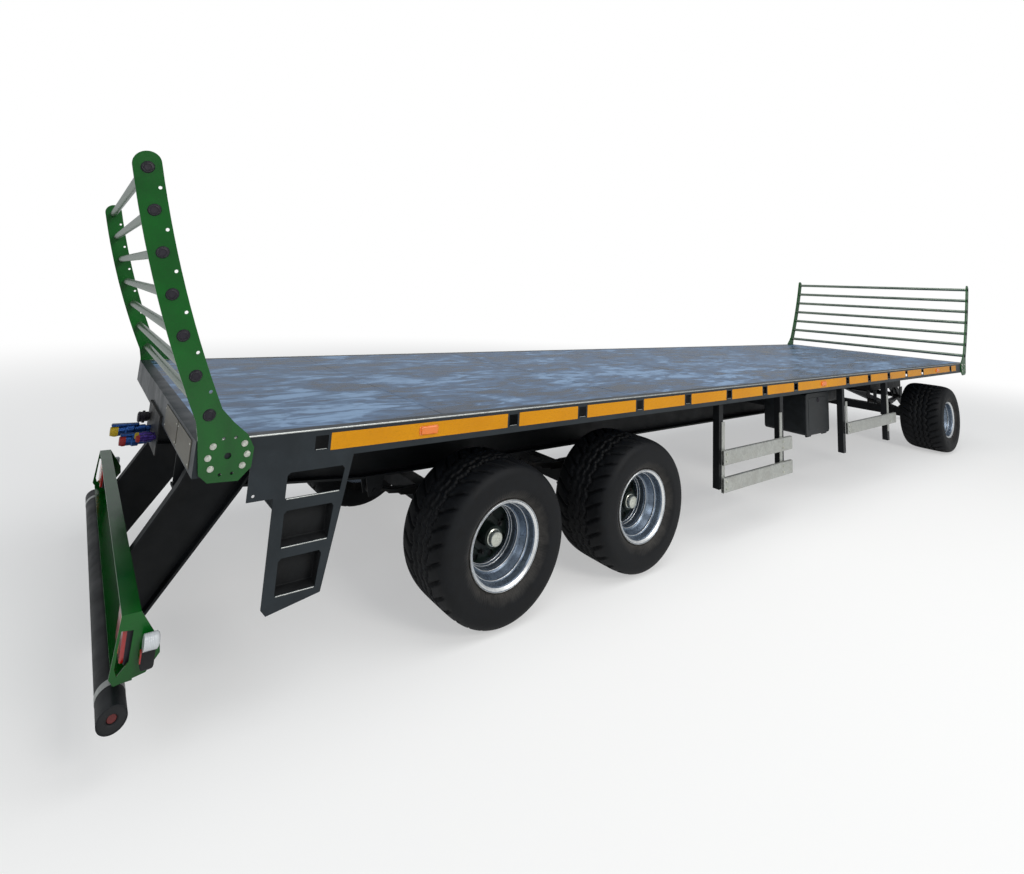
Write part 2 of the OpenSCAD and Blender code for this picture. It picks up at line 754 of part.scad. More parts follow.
// frame under the lower ring: two long channels, three cross channels and the drawbar's ears
module dolly_frame() {
    back = turntable_x - dolly_back;
    front = turntable_x + dolly_front;
    color("#22272b") in_row_frame() {
        for (s = [-1, 1]) mirrored(s) {
            block([back, spring_y - dolly_w / 2, dolly_low], [front, spring_y + dolly_w / 2, dolly_top]);
            hanger(turntable_x - spring_half, spring_y, dolly_low, hanger_y);
            hanger(turntable_x + spring_half, spring_y, dolly_low, hanger_y);
        }
        for (x = [back, turntable_x - dolly_w / 2, front - dolly_w])
            block([x, -spring_y, dolly_low], [x + dolly_w, spring_y, dolly_top]);
        for (s = [-1, 1], c = [-1, 1])
            translate([0, s * drawbar_y, 0]) mirrored(c)
                across(lug_w / 2 + ear_gap, lug_w / 2 + ear_gap + ear_t) difference() {
                    union() {
                        polygon([[front - dolly_w, dolly_low], [front + 30, dolly_low],
                            [hinge_x + 30, hinge_z + 22], [hinge_x + 30, hinge_z],
                            [hinge_x - 30, hinge_z - 30]]);
                        translate([hinge_x, hinge_z]) circle(r = lug_r - 5, $fn = FINE);
                    }
                    translate([hinge_x, hinge_z]) circle(r = pin_r, $fn = FINE);
                }
        // hinge pins, fixed in the ears
        for (s = [-1, 1])
            translate([0, s * drawbar_y, 0]) bar_y(hinge_x, hinge_z, pin_r,
                -lug_w / 2 - ear_gap - ear_t - 6, lug_w / 2 + ear_gap + ear_t + 6);
    }
}

// ---- drawbar, drawn level with its hinge at zero and then let down to the ground

module let_down() {
    translate([hinge_x, 0, hinge_z]) rotate([0, drawbar_drop, 0]) children();
}

eye_shank = 220;
leg_front = drawbar_len - eye_shank;
leg_back = 60;

module drawbar() {
    half = drawbar_side / 2;
    color("#22272b") in_row_frame() let_down() difference() {
        union() {
            for (s = [-1, 1]) mirrored(s) {
                // leg that runs in to the nose
                translate([0, 0, -half]) linear_extrude(height = drawbar_side) polygon([
                    [leg_back, drawbar_y - half], [leg_front, 8], [leg_front, 8 + drawbar_side],
                    [leg_back, drawbar_y + half]]);
                // lug round the hinge pin
                bar_y(0, 0, lug_r, drawbar_y - lug_w / 2, drawbar_y + lug_w / 2);
                block([0, drawbar_y - lug_w / 2, -half], [leg_back, drawbar_y + lug_w / 2, half]);
            }
            block([leg_back + 30, -drawbar_y, -half + 10], [leg_back + 100, drawbar_y, half - 10]);
            block([leg_front - 260, -90, -half], [leg_front, 90, half]);
        }
        for (s = [-1, 1])
            translate([0, s * drawbar_y, 0]) bar_y(0, 0, pin_r + spindle_gap, -lug_w, lug_w);
    }
}

module drawbar_eye() {
    color("#3a3d3f") in_row_frame() let_down() difference() {
        union() {
            block([leg_front, -60, -40], [leg_front + 22, 60, 40]);
            translate([leg_front + 22, 0, 0]) rotate([0, 90, 0])
                cylinder(r = eye_t / 2 - 0.5, h = eye_shank - 22 - eye_bore_r - 4, $fn = FINE);
            translate([drawbar_len, 0, -eye_t / 2]) cylinder(r = eye_r, h = eye_t, $fn = FINE);
        }
        translate([drawbar_len, 0, -eye_t]) cylinder(r = eye_bore_r, h = 2 * eye_t, $fn = FINE);
    }
}

// ---- wheels

// turns a section of radius and axial place round the wheel's axis; axial places grow outwards
module turned(x, side) {
    translate([x, side * wheel_y, axle_z]) rotate([-side * 90, 0, 0]) rotate_extrude($fn = FINE)
        children();
}

module tyre(x, side) {
    half = tyre_w / 2;
    bead = rim_w / 2 - seat_gap;
    color("#17181a") in_row_frame() turned(x, side) polygon([
        [seat_r + seat_gap, bead], [seat_r + flange_h + seat_gap, bead],
        [seat_r + flange_h + 14, bead + 12], [tyre_r - 120, half],
        [tyre_r - 60, half - 2], [tyre_r - 22, half - 16], [tyre_r - 5, half - 42],
        [tyre_r, half - 80], [tyre_r, -half + 80], [tyre_r - 5, -half + 42],
        [tyre_r - 22, -half + 16], [tyre_r - 60, -half + 2], [tyre_r - 120, -half],
        [seat_r + flange_h + 14, -bead - 12], [seat_r + flange_h + seat_gap, -bead],
        [seat_r + seat_gap, -bead],
        [seat_r + seat_gap, -bead + 34], [tyre_r - 120, -half + 20], [tyre_r - 32, -half + 50],
        [tyre_r - 32, half - 50], [tyre_r - 120, half - 20], [seat_r + seat_gap, bead - 34]]);
}

// rim, disc, hub and brake drum as one piece, bored for the spindle
module wheel(x, side) {
    half = rim_w / 2;
    top = seat_r + flange_h;
    bore = spindle_r + spindle_gap;
    color("#9ea4a8") in_row_frame() turned(x, side) polygon([
        [bore, drum_back_a], [drum_r, drum_back_a], [drum_r, disc_a], [well_r - rim_t, disc_a],
        [well_r - rim_t, -half + 90], [seat_r - rim_t, -half + 50],
        [seat_r - rim_t, -half - 4], [top - rim_t, -half - flange_t], [top, -half - flange_t],
        [top, -half], [seat_r, -half], [seat_r, -half + 50], [well_r, -half + 90],
        [well_r, half - 120], [seat_r, half - 60], [seat_r, half], [top, half],
        [top, half + flange_t], [top - rim_t, half + flange_t], [seat_r - rim_t, half + 4],
        [seat_r - rim_t, half - 60], [well_r - rim_t, half - 120], [well_r - rim_t, disc_a + disc_t],
        [hub_r + 45, disc_a + disc_t], [hub_r + 40, disc_a + disc_t + 14],
        [hub_r, disc_a + disc_t + 14], [hub_r - 6, hub_nose - 30], [hub_r - 17, hub_nose - 26],
        [hub_r - 17, hub_nose - 4], [hub_r - 22, hub_nose], [0, hub_nose], [0, hub_nose - 30],
        [bore, hub_nose - 30]]);
}

// ---- one line per node

deck_plate();
side_beam(1);  // side_beam_left
side_beam(-1);  // side_beam_right
side_beam_web(1);  // side_beam_web_left
side_beam_web(-1);  // side_beam_web_right
side_beam_lip(1);  // side_beam_lip_left
side_beam_lip(-1);  // side_beam_lip_right
end_beam(false);  // rear_beam
end_beam(true);  // front_beam
crossmembers();
main_beam(1);  // main_beam_left
main_beam(-1);  // main_beam_right
neck_beam(1);  // neck_beam_left
neck_beam(-1);  // neck_beam_right
rack_post(1, false);  // rear_rack_post_left
rack_post(-1, false);  // rear_rack_post_right
rack_rungs(false);  // rear_rack_rungs
rack_post(1, true);  // front_rack_post_left
rack_post(-1, true);  // front_rack_post_right
rack_rungs(true);  // front_rack_rungs
ladder();
side_guard_posts();
side_guard_uprights();
side_guard_planks();
toolbox();
toolbox_lid();
underrun_arms();
underrun_tube();
lamp_carrier();
tail_lamps();
outline_lamps();
side_marker_lamps();
coupling_panel();
coupling_heads();
blank_plates();
air_tank();
bogie_hangers();
bogie_rockers();
rear_leaf_springs();
axle(axle_rear_x);  // axle_rear_1
axle(axle_mid_x);  // axle_rear_2
turntable_upper();
turntable_lower();
dolly_frame();
front_leaf_springs();
axle(turntable_x);  // axle_front
drawbar();
drawbar_eye();
tyre(axle_rear_x, 1);  // tyre_rear_1_left
tyre(axle_rear_x, -1);  // tyre_rear_1_right
tyre(axle_mid_x, 1);  // tyre_rear_2_left
tyre(axle_mid_x, -1);  // tyre_rear_2_right
tyre(turntable_x, 1);  // tyre_front_left
tyre(turntable_x, -1);  // tyre_front_right
wheel(axle_rear_x, 1);  // wheel_rear_1_left
wheel(axle_rear_x, -1);  // wheel_rear_1_right
wheel(axle_mid_x, 1);  // wheel_rear_2_left
wheel(axle_mid_x, -1);  // wheel_rear_2_right
wheel(turntable_x, 1);  // wheel_front_left
wheel(turntable_x, -1);  // wheel_front_right
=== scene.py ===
"""Looks of a three-axle platform trailer for bales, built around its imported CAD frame.

Metres: X runs forward, Y to the left, Z up, and the ground is at Z = 0. Lengths written in
millimetres are turned by MM, and at(x) turns a station, counted in millimetres forward from
the platform's rear end, into the frame's X.
"""
import math

import bmesh
import bpy
import numpy as np
from mathutils import Matrix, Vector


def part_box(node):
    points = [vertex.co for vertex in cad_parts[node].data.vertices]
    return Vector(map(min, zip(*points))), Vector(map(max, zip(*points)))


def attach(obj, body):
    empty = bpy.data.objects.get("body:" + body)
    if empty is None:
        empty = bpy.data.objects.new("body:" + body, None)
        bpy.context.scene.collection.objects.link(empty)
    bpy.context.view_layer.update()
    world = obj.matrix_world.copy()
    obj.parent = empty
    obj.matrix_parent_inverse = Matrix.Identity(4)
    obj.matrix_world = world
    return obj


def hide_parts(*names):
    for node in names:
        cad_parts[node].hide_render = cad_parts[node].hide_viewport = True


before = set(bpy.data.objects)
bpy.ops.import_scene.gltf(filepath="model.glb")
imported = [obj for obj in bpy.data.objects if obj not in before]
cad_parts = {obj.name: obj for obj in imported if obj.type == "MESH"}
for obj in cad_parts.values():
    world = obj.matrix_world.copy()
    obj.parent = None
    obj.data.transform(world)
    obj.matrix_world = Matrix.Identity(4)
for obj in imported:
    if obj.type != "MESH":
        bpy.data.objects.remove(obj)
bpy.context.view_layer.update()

MM = 0.001
SIDES = (("left", 1), ("right", -1))
REAR_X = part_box("rear_beam")[0].x
FRONT_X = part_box("front_beam")[1].x
DECK_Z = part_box("deck_plate")[1].z
HALF_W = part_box("side_beam_left")[1].y
BEAM_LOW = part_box("side_beam_lip_left")[0].z
DECK_LEN = FRONT_X - REAR_X
# Lashing slots stand at even stations along the side beams, and lamps take the place of three.
SLOT_FIRST, SLOT_PITCH = 509 * MM, 546 * MM
SLOT_Z = DECK_Z - 58 * MM
STATION_COUNT = 17
LAMP_STATIONS = (1, 9, 15)
# The deck is welded from sheets of this length.
SHEET_LEN = 1.5
WHEELS = [f"{axle}_{side}" for axle in ("rear_1", "rear_2", "front") for side, _ in SIDES]


def at(x):
    """Frame X of a station in millimetres from the platform's rear end."""
    return REAR_X + x * MM


# ---- surfaces

def grid(points, wrap_u=False, wrap_v=False):
    """Corners and quads of a surface given as rows (u) and columns (v) of points; a wrapped
    direction joins its last line to its first."""
    nu, nv = points.shape[:2]
    a, b = np.meshgrid(np.arange(nu if wrap_u else nu - 1), np.arange(nv if wrap_v else nv - 1),
                       indexing="ij")
    an, bn = (a + 1) % nu, (b + 1) % nv
    quads = np.stack([a * nv + b, an * nv + b, an * nv + bn, a * nv + bn], -1).reshape(-1, 4)
    return points.reshape(-1, 3), quads.tolist()


def rounded(points, radius, steps=3):
    """Closed outline whose corners are cut back by radius, or half the shorter side, and
    bridged by the quadratic curve (1-t)^2 start + 2t(1-t) corner + t^2 end."""
    p = np.asarray(points, float)
    back, ahead = np.roll(p, 1, 0) - p, np.roll(p, -1, 0) - p
    lb, la = np.linalg.norm(back, axis=1), np.linalg.norm(ahead, axis=1)
    cut = np.minimum(np.broadcast_to(radius, lb.shape), 0.5 * np.minimum(lb, la))[:, None]
    start, end = p + back / lb[:, None] * cut, p + ahead / la[:, None] * cut
    t = np.linspace(0, 1, steps + 1)[None, :, None]
    return ((1 - t) ** 2 * start[:, None] + 2 * t * (1 - t) * p[:, None]
            + t ** 2 * end[:, None]).reshape(-1, 2)


def rectangle(u0, v0, u1, v1):
    """Four corners of a rectangle, anticlockwise."""
    return [[u0, v0], [u1, v0], [u1, v1], [u0, v1]]


AXES = {"x": (1, 2, 0), "y": (2, 0, 1), "z": (0, 1, 2)}


def prism(outline, low, high, axis="y", bevel=0.0):
    """Carries a closed outline along an axis from low to high. With a bevel its first and last
    ring are drawn in by that much along the outline's own normals. An outline along y is
    given as (z, x), along x as (y, z) and along z as (x, y)."""
    o = np.asarray(outline, float)
    tangent = np.roll(o, -1, 0) - np.roll(o, 1, 0)
    normal = np.stack([tangent[:, 1], -tangent[:, 0]], 1)
    normal /= np.maximum(np.linalg.norm(normal, axis=1), 1e-9)[:, None]
    area = 0.5 * np.sum(o[:, 0] * np.roll(o[:, 1], -1) - o[:, 1] * np.roll(o[:, 0], -1))
    inner = o - np.sign(area) * normal * bevel
    rings = [(inner, low), (o, low + bevel), (o, high - bevel), (inner, high)] if bevel else [
        (o, low), (o, high)]
    points = np.zeros((len(rings), len(o), 3))
    u, v, w = AXES[axis]
    for k, (ring, level) in enumerate(rings):
        points[k, :, u], points[k, :, v], points[k, :, w] = ring[:, 0], ring[:, 1], level
    verts, quads = grid(points, wrap_v=True)
    n = len(o)
    caps = [list(range(n)), list(range((len(rings) - 1) * n, len(rings) * n))[::-1]]
    return verts, quads + caps


def slab(low, high, radius=3 * MM, bevel=1.5 * MM, axis="z"):
    """Box between two corners with its edges along one axis rounded and its ends bevelled."""
    u, v, w = AXES[axis]
    outline = rounded(rectangle(low[u], low[v], high[u], high[v]), radius)
    return prism(outline, low[w], high[w], axis, bevel)


def lathe(profile, centre, axis="y", side=1, segments=64, closed=True):
    """Turns a section of (radius, distance along the axis) about the axis through centre: at
    angle t its point lies at radius (cos t, sin t) across the axis and side times the
    distance along it. A closed section joins its last point to its first."""
    r, a = np.asarray(profile, float).T
    t = np.linspace(0, 2 * np.pi, segments, endpoint=False)[:, None]
    u, v, w = AXES[axis]
    points = np.zeros((segments, len(r), 3))
    points[..., u], points[..., v] = centre[u] + r * np.cos(t), centre[v] + r * np.sin(t)
    points[..., w] = centre[w] + side * a
    return grid(points, True, closed)


def bar(centre, radius, low, high, axis="y", segments=32, bevel=1 * MM):
    """Round bar between two places along an axis, its ends bevelled."""
    w = AXES[axis][2]
    middle = list(centre)
    middle[w] = 0.0
    return lathe([[0, low], [radius - bevel, low], [radius, low + bevel], [radius, high - bevel],
                  [radius - bevel, high], [0, high]], middle, axis, 1, segments, False)


def pipe(path, radius, segments=12):
    """Round tube along a path: at each point a circle stands across the path's tangent, on two
    directions worked out from the tangent and the axis that the path follows least."""
    p = np.asarray(path, float)
    tangent = np.gradient(p, axis=0)
    tangent /= np.linalg.norm(tangent, axis=1)[:, None]
    spare = np.eye(3)[np.argmin(np.abs(tangent).max(0))]
    across = np.cross(tangent, spare)
    across /= np.linalg.norm(across, axis=1)[:, None]
    other = np.cross(tangent, across)
    t = np.linspace(0, 2 * np.pi, segments, endpoint=False)[None, :, None]
    points = p[:, None] + radius * (np.cos(t) * across[:, None] + np.sin(t) * other[:, None])
    verts, quads = grid(points, wrap_v=True)
    n, last = segments, (len(p) - 1) * segments
    return verts, quads + [list(range(n))[::-1], list(range(last, last + n))]


def copies(part, places):
    """The same part at each place, a list of moves."""
    verts, faces = part
    moved = (np.asarray(verts)[None] + np.asarray(places, float)[:, None]).reshape(-1, 3)
    step = len(verts)
    return moved, [[i + k * step for i in f] for k in range(len(places)) for f in faces]


def turned(part, angle, centre, axis="y"):
    """A part turned by an angle about an axis through centre."""
    verts, faces = part
    turn = np.array(Matrix.Rotation(angle, 3, axis.upper()))
    return (np.asarray(verts) - centre) @ turn.T + centre, faces


def mirrored(part):
    """A part's copy on the other side of the middle plane, its faces turned back outwards."""
    verts, faces = part
    return np.asarray(verts) * [1, -1, 1], [f[::-1] for f in faces]


def both_sides(parts):
    """The parts, and then their copies on the other side."""
    return parts + [mirrored(p) for p in parts]


def piece(name, parts, finish, body="chassis", replaces=(), smooth=35):
    """Joins parts into one named mesh, closes its doubled points, turns its faces outwards and
    lets it ride on a CAD body. Edges sharper than smooth degrees stay sharp."""
    verts, faces, base = [], [], 0
    for v, f in parts:
        verts.append(np.asarray(v, float))
        faces += [[i + base for i in q] for q in f]
        base += len(v)
    mesh = bpy.data.meshes.new(name)
    mesh.from_pydata(np.concatenate(verts).tolist(), [], faces)
    close_and_turn_outwards(mesh)
    mesh.materials.append(finish)
    mesh.shade_smooth()
    mesh.set_sharp_from_angle(angle=math.radians(smooth))
    obj = bpy.data.objects.new(name, mesh)
    bpy.context.scene.collection.objects.link(obj)
    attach(obj, body)
    if replaces:
        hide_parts(*replaces)
    return obj


def close_and_turn_outwards(mesh):
    """Joins doubled points, drops faces without area and turns the rest outwards."""
    work = bmesh.new()
    work.from_mesh(mesh)
    bmesh.ops.remove_doubles(work, verts=work.verts, dist=1e-6)
    bmesh.ops.dissolve_degenerate(work, edges=work.edges, dist=1e-7)
    bmesh.ops.recalc_face_normals(work, faces=work.faces)
    work.to_mesh(mesh)
    work.free()


# ---- finishes

def colour(code):
    """Linear RGBA of an sRGB hex colour, or of a grey level from 0 to 1."""
    if not isinstance(code, str):
        return [code, code, code, 1.0]
    channels = [int(code[i:i + 2], 16) / 255 for i in (1, 3, 5)]
    return [c / 12.92 if c <= 0.04045 else ((c + 0.055) / 1.055) ** 2.4 for c in channels] + [1.0]


def feed(node, inputs):
    """Gives each input of a node its value, or links it when the value is a socket or another
    node, which stands for its first output."""
    for key, value in inputs.items():
        if isinstance(value, bpy.types.Node):
            value = value.outputs[0]
        if isinstance(value, bpy.types.NodeSocket):
            node.id_data.links.new(value, node.inputs[key])
        else:
            node.inputs[key].default_value = value


def add(tree, kind, inputs=None, stops=(), **settings):
    """Adds one node with its settings and inputs, and on a ramp its stops as (place, colour)."""
    node = tree.nodes.new("ShaderNode" + kind)
    for key, value in settings.items():
        setattr(node, key, value)
    feed(node, inputs or {})
    if stops:
        elements = node.color_ramp.elements
        while len(elements) < len(stops):
            elements.new(0.5)
        for element, (place, value) in zip(elements, stops):
            element.position = place
            element.color = colour(value)
    return node


def finish(name, **shader):
    """New material with one Principled shader, whose constant inputs are set on its sockets,
    and the piece's Object coordinates in metres."""
    made = bpy.data.materials.new(name)
    made.use_nodes = True
    tree = made.node_tree
    surface = tree.nodes["Principled BSDF"]
    feed(surface, {key.replace("_", " "): value for key, value in shader.items()})
    return made, tree, surface, add(tree, "TexCoord").outputs["Object"]


def lumps(tree, place, size_mm, detail, rough, warp=0.0, stretch=(1, 1, 1)):
    """Pattern of soft lumps about size_mm across, drawn out along an axis by a smaller stretch."""
    scaled = add(tree, "Mapping", {"Vector": place, "Scale": stretch})
    return add(tree, "TexNoise", {"Vector": scaled, "Scale": 1000 / size_mm, "Detail": detail,
                                  "Roughness": rough, "Distortion": warp})


def painted_steel(name, dark, light, gloss, patch_mm, dust="#6b675f", dusting=0.12, shine=0.25):
    """Sprayed two-pack paint on rolled and welded steel: orange peel of 7 mm, which is coarser
    than the real one so that it shows, duller where it was handled, and road dust in soft
    patches."""
    made, tree, surface, place = finish(name, IOR=1.5, Specular_IOR_Level=shine)
    patches = lumps(tree, place, patch_mm, 6, 0.6, 0.6)
    paint = add(tree, "ValToRGB", {"Fac": patches}, [(0.3, dark), (0.7, light)])
    film = add(tree, "ValToRGB", {"Fac": lumps(tree, place, 90, 8, 0.7)}, [(0.5, 0.0), (0.8, dusting)])
    dusty = add(tree, "Mix", {"Factor": film, "A": paint, "B": colour(dust)}, data_type="RGBA")
    handled = lumps(tree, place, 140, 5, 0.6)
    dull = add(tree, "ValToRGB", {"Fac": handled}, [(0.3, gloss[0]), (0.75, gloss[1])])
    peel = add(tree, "Bump", {"Height": lumps(tree, place, 7, 2, 0.5), "Distance": 0.12 * MM})
    feed(surface, {"Base Color": dusty.outputs["Result"], "Roughness": dull, "Normal": peel})
    return made


def enamelled_deck_sheet():
    """Sheet steel enamelled grey-blue with rolled-on alkyd, in pale and dark streaky patches: partly wear
    from wheels and bales, and in the palest streaks painted sky reflection. The sheet buckles a little
    between its crossmembers, and dirt marks every second seam between the sheets with a dark line."""
    made, tree, surface, place = finish("enamelled_deck_sheet", IOR=1.45, Specular_IOR_Level=0.4)
    broad = lumps(tree, place, 520, 6, 0.6, 0.9, (0.45, 1.0, 1))
    fine = lumps(tree, place, 90, 5, 0.6, 1.2, (0.35, 1.0, 1))
    both = add(tree, "Math", {0: broad, 1: fine}, operation="ADD")
    streaks = add(tree, "Math", {0: both, 1: 0.5}, operation="MULTIPLY")
    # The palest stops paint sky reflection into the deck's colour; the rest is the enamel and its wear.
    enamel_and_reflection = add(tree, "ValToRGB", {"Fac": streaks},
                 [(0.4, "#1a2a3d"), (0.46, "#2e4763"), (0.52, "#486484"), (0.59, "#7b97b6")])
    along = add(tree, "SeparateXYZ", {0: place}).outputs["X"]
    from_seam = add(tree, "Math", {0: along, 1: SHEET_LEN}, operation="PINGPONG")
    seam = add(tree, "ValToRGB", {"Fac": from_seam}, [(0.0, 1.0), (0.004, 0.0)])
    marked = add(tree, "Mix", {"Factor": seam, "A": enamel_and_reflection, "B": colour("#39434f")}, data_type="RGBA")
    rubbed = add(tree, "ValToRGB", {"Fac": streaks}, [(0.4, 0.24), (0.62, 0.46)])
    buckles = add(tree, "Bump", {"Height": lumps(tree, place, SLOT_PITCH / MM, 2, 0.4, 0.3),
                                 "Distance": 5.0 * MM})
    peel = add(tree, "Bump", {"Height": lumps(tree, place, 9, 3, 0.5), "Distance": 0.15 * MM,
                              "Normal": buckles})
    feed(surface, {"Base Color": marked.outputs["Result"], "Roughness": rubbed, "Normal": peel})
    return made


def hot_dip_zinc():
    """Hot-dip galvanising: dull grey with spangles 12 mm across, each a little brighter or
    darker than the next."""
    made, tree, surface, place = finish("hot_dip_zinc", Metallic=0.75)
    spangle = add(tree, "TexVoronoi", {"Vector": place, "Scale": 1000 / 12}).outputs["Color"]
    grey = add(tree, "RGBToBW", {0: spangle})
    zinc = add(tree, "ValToRGB", {"Fac": grey}, [(0.2, "#a6a8a4"), (0.8, "#b9bbb6")])
    stain = add(tree, "ValToRGB", {"Fac": lumps(tree, place, 160, 6, 0.6)}, [(0.45, 0.0), (0.8, 0.5)])
    stained = add(tree, "Mix", {"Factor": stain, "A": zinc, "B": colour("#8b8780")}, data_type="RGBA")
    dull = add(tree, "ValToRGB", {"Fac": grey}, [(0.1, 0.36), (0.9, 0.55)])
    feed(surface, {"Base Color": stained.outputs["Result"], "Roughness": dull})
    return made


def plated_steel(name, dark, light, gloss=(0.22, 0.38)):
    """Zinc-plated small parts, drawn tube and bare sheet: bright, with a faint drawn grain."""
    made, tree, surface, place = finish(name, Metallic=0.9)
    grain = lumps(tree, place, 14, 5, 0.6, 0.0, (1, 0.15, 1))
    feed(surface, {"Base Color": add(tree, "ValToRGB", {"Fac": grain}, [(0.3, dark), (0.7, light)]),
                   "Roughness": add(tree, "ValToRGB", {"Fac": grain},
                                    [(0.2, gloss[0]), (0.8, gloss[1])])})
    return made


def tyre_rubber():
    """Moulded farm tyre: near-black compound with painted shade darkening the grooves, grey-brown dust and
    fine radial mould lines that fade out from the bead. The attribute from_axle is the distance from the
    axle in metres, around counts metres round the bead, and groove is a groove's depth from 0 to 1."""
    made, tree, surface, place = finish("tyre_rubber", IOR=1.5, Specular_IOR_Level=0.2)
    from_axle, around, groove = [add(tree, "Attribute", attribute_name=label).outputs["Fac"]
                                 for label in ("from_axle", "around", "groove")]
    blotch = lumps(tree, place, 60, 6, 0.65, 0.5)
    compound = add(tree, "ValToRGB", {"Fac": blotch}, [(0.3, "#090a0c"), (0.75, "#15171a")])
    near_bead = add(tree, "MapRange", {"Value": from_axle, "From Min": 0.325, "From Max": 0.25})
    held = add(tree, "Math", {0: near_bead, 1: blotch}, operation="MULTIPLY")
    dust = add(tree, "ValToRGB", {"Fac": held}, [(0.2, 0.0), (0.6, 0.55)])
    dusty = add(tree, "Mix", {"Factor": dust, "A": compound, "B": colour("#4a4743")}, data_type="RGBA")
    # Painted shade: the grooves get darker the deeper they are.
    half_depth = add(tree, "Math", {0: groove, 1: 0.5}, operation="MULTIPLY")
    shaded = add(tree, "Mix", {"Factor": half_depth, "A": dusty.outputs["Result"],
                               "B": colour("#0a0b0d")}, data_type="RGBA")
    dull = add(tree, "ValToRGB", {"Fac": blotch}, [(0.2, 0.5), (0.8, 0.72)])
    turns = add(tree, "Math", {0: around, 1: 1000 / 7 * math.pi}, operation="MULTIPLY")
    wave = add(tree, "Math", {0: turns}, operation="SINE")
    lines = add(tree, "Math", {0: wave, 1: near_bead}, operation="MULTIPLY")
    mould = add(tree, "Bump", {"Height": lines, "Distance": 0.5 * MM})
    grain = add(tree, "Bump", {"Height": lumps(tree, place, 5, 4, 0.6), "Distance": 0.3 * MM,
                               "Normal": mould})
    feed(surface, {"Base Color": shaded.outputs["Result"], "Roughness": dull, "Normal": grain})
    return made


def moulded_lens(name, code):
    """Injection-moulded acrylic lens: clear colour over a fluted inside, 4 mm flutes."""
    made, tree, surface, place = finish(name, IOR=1.49, Roughness=0.12, Coat_Weight=0.6,
                                        Coat_Roughness=0.05)
    flutes = add(tree, "TexWave", {"Vector": place, "Scale": math.pi / 10 / (4 * MM)},
                 wave_type="BANDS", bands_direction="X").outputs["Fac"]
    deep = [c * 0.75 for c in colour(code)[:3]] + [1]
    body = add(tree, "Mix", {"Factor": flutes, "A": deep, "B": colour(code)}, data_type="RGBA")
    fluted = add(tree, "Bump", {"Height": flutes, "Distance": 0.1 * MM})
    feed(surface, {"Base Color": body.outputs["Result"], "Normal": fluted})
    return made


def reflective_tape():
    """Prismatic conspicuity tape: saturated yellow-orange film whose 6 mm hexagonal cells
    catch the light in turn."""
    made, tree, surface, place = finish("reflective_tape", IOR=1.5, Specular_IOR_Level=0.2)
    cells = add(tree, "TexVoronoi", {"Vector": place, "Scale": 1000 / 6}, feature="DISTANCE_TO_EDGE")
    edge = add(tree, "ValToRGB", {"Fac": cells.outputs["Distance"]}, [(0.0, 1.0), (0.12, 0.0)])
    patch = lumps(tree, place, 300, 3, 0.5)
    film = add(tree, "ValToRGB", {"Fac": patch}, [(0.3, "#cc8600"), (0.7, "#da9400")])
    celled = add(tree, "Mix", {"Factor": edge, "A": film, "B": colour("#b87900")}, data_type="RGBA")
    dull = add(tree, "ValToRGB", {"Fac": patch}, [(0.2, 0.25), (0.8, 0.4)])
    feed(surface, {"Base Color": celled.outputs["Result"], "Roughness": dull})
    return made


def moulded_plastic(name, dark, light, grain_mm, gloss):
    """Moulded polyethylene or rubber with a leathery grain, greyer where it is scuffed."""
    made, tree, surface, place = finish(name, IOR=1.5, Specular_IOR_Level=0.3)
    scuff = lumps(tree, place, 120, 8, 0.7, 0.8)
    skin = add(tree, "ValToRGB", {"Fac": scuff}, [(0.35, dark), (0.8, light)])
    dull = add(tree, "ValToRGB", {"Fac": scuff}, [(0.2, gloss[0]), (0.8, gloss[1])])
    grain = add(tree, "Bump", {"Height": lumps(tree, place, grain_mm, 3, 0.5), "Distance": 0.25 * MM})
    feed(surface, {"Base Color": skin, "Roughness": dull, "Normal": grain})
    return made


def silver_wheel_enamel():
    """Silver wheel paint: aluminium flake in a clear binder, glossy, in faint 45 mm patches; its blue-grey
    tint is painted sky reflection.
    """
    made, tree, surface, place = finish("silver_wheel_enamel", Metallic=0.7)
    flake = lumps(tree, place, 45, 3, 0.5)
    # The blue in these greys paints the sky's reflection; the grey is the silver paint.
    feed(surface, {"Base Color": add(tree, "ValToRGB", {"Fac": flake}, [(0.3, "#6c7888"), (0.7, "#76828f")]),
                   "Roughness": add(tree, "ValToRGB", {"Fac": flake}, [(0.2, 0.2), (0.8, 0.36)])})
    return made


DECK = enamelled_deck_sheet()
ANTHRACITE = painted_steel("anthracite_enamel", "#1a2024", "#252c31", (0.3, 0.5), 260, "#5f6468", 0.05)
CHASSIS = painted_steel("black_chassis_enamel", "#0b0d0f", "#14171a", (0.4, 0.65), 260, "#4a4844", 0.06)
GREEN = painted_steel("green_enamel", "#003f0c", "#005a14", (0.14, 0.26), 380, "#1f6a30", 0.05, 0.4)
DARK_GREEN = painted_steel("green_black_wheel_disc_paint", "#0c1512", "#16241f", (0.3, 0.5), 60)
SPRING = painted_steel("spring_steel_paint", "#1b1d1f", "#2c2b29", (0.4, 0.65), 120, "#5a4a3c", 0.3)
ZINC = hot_dip_zinc()
# The green cast of the rung tube paints the green reflections on the rungs; the galvanised tube itself is
# grey.
TUBE = plated_steel("galvanised_rung_tube", "#6c7a6e", "#96a394")
BOLT = plated_steel("zinc_plated_bolts", "#a9aca4", "#d4d6cc")
BLUE_ALLOY = plated_steel("blue_anodised_alloy", "#1a3566", "#2c5290", (0.3, 0.45))
VIOLET_ALLOY = plated_steel("violet_anodised_alloy", "#2d2058", "#45347e", (0.3, 0.45))
SHEET = plated_steel("plain_aluminium_sheet", "#9b9d9a", "#bcbfbd", (0.35, 0.5))
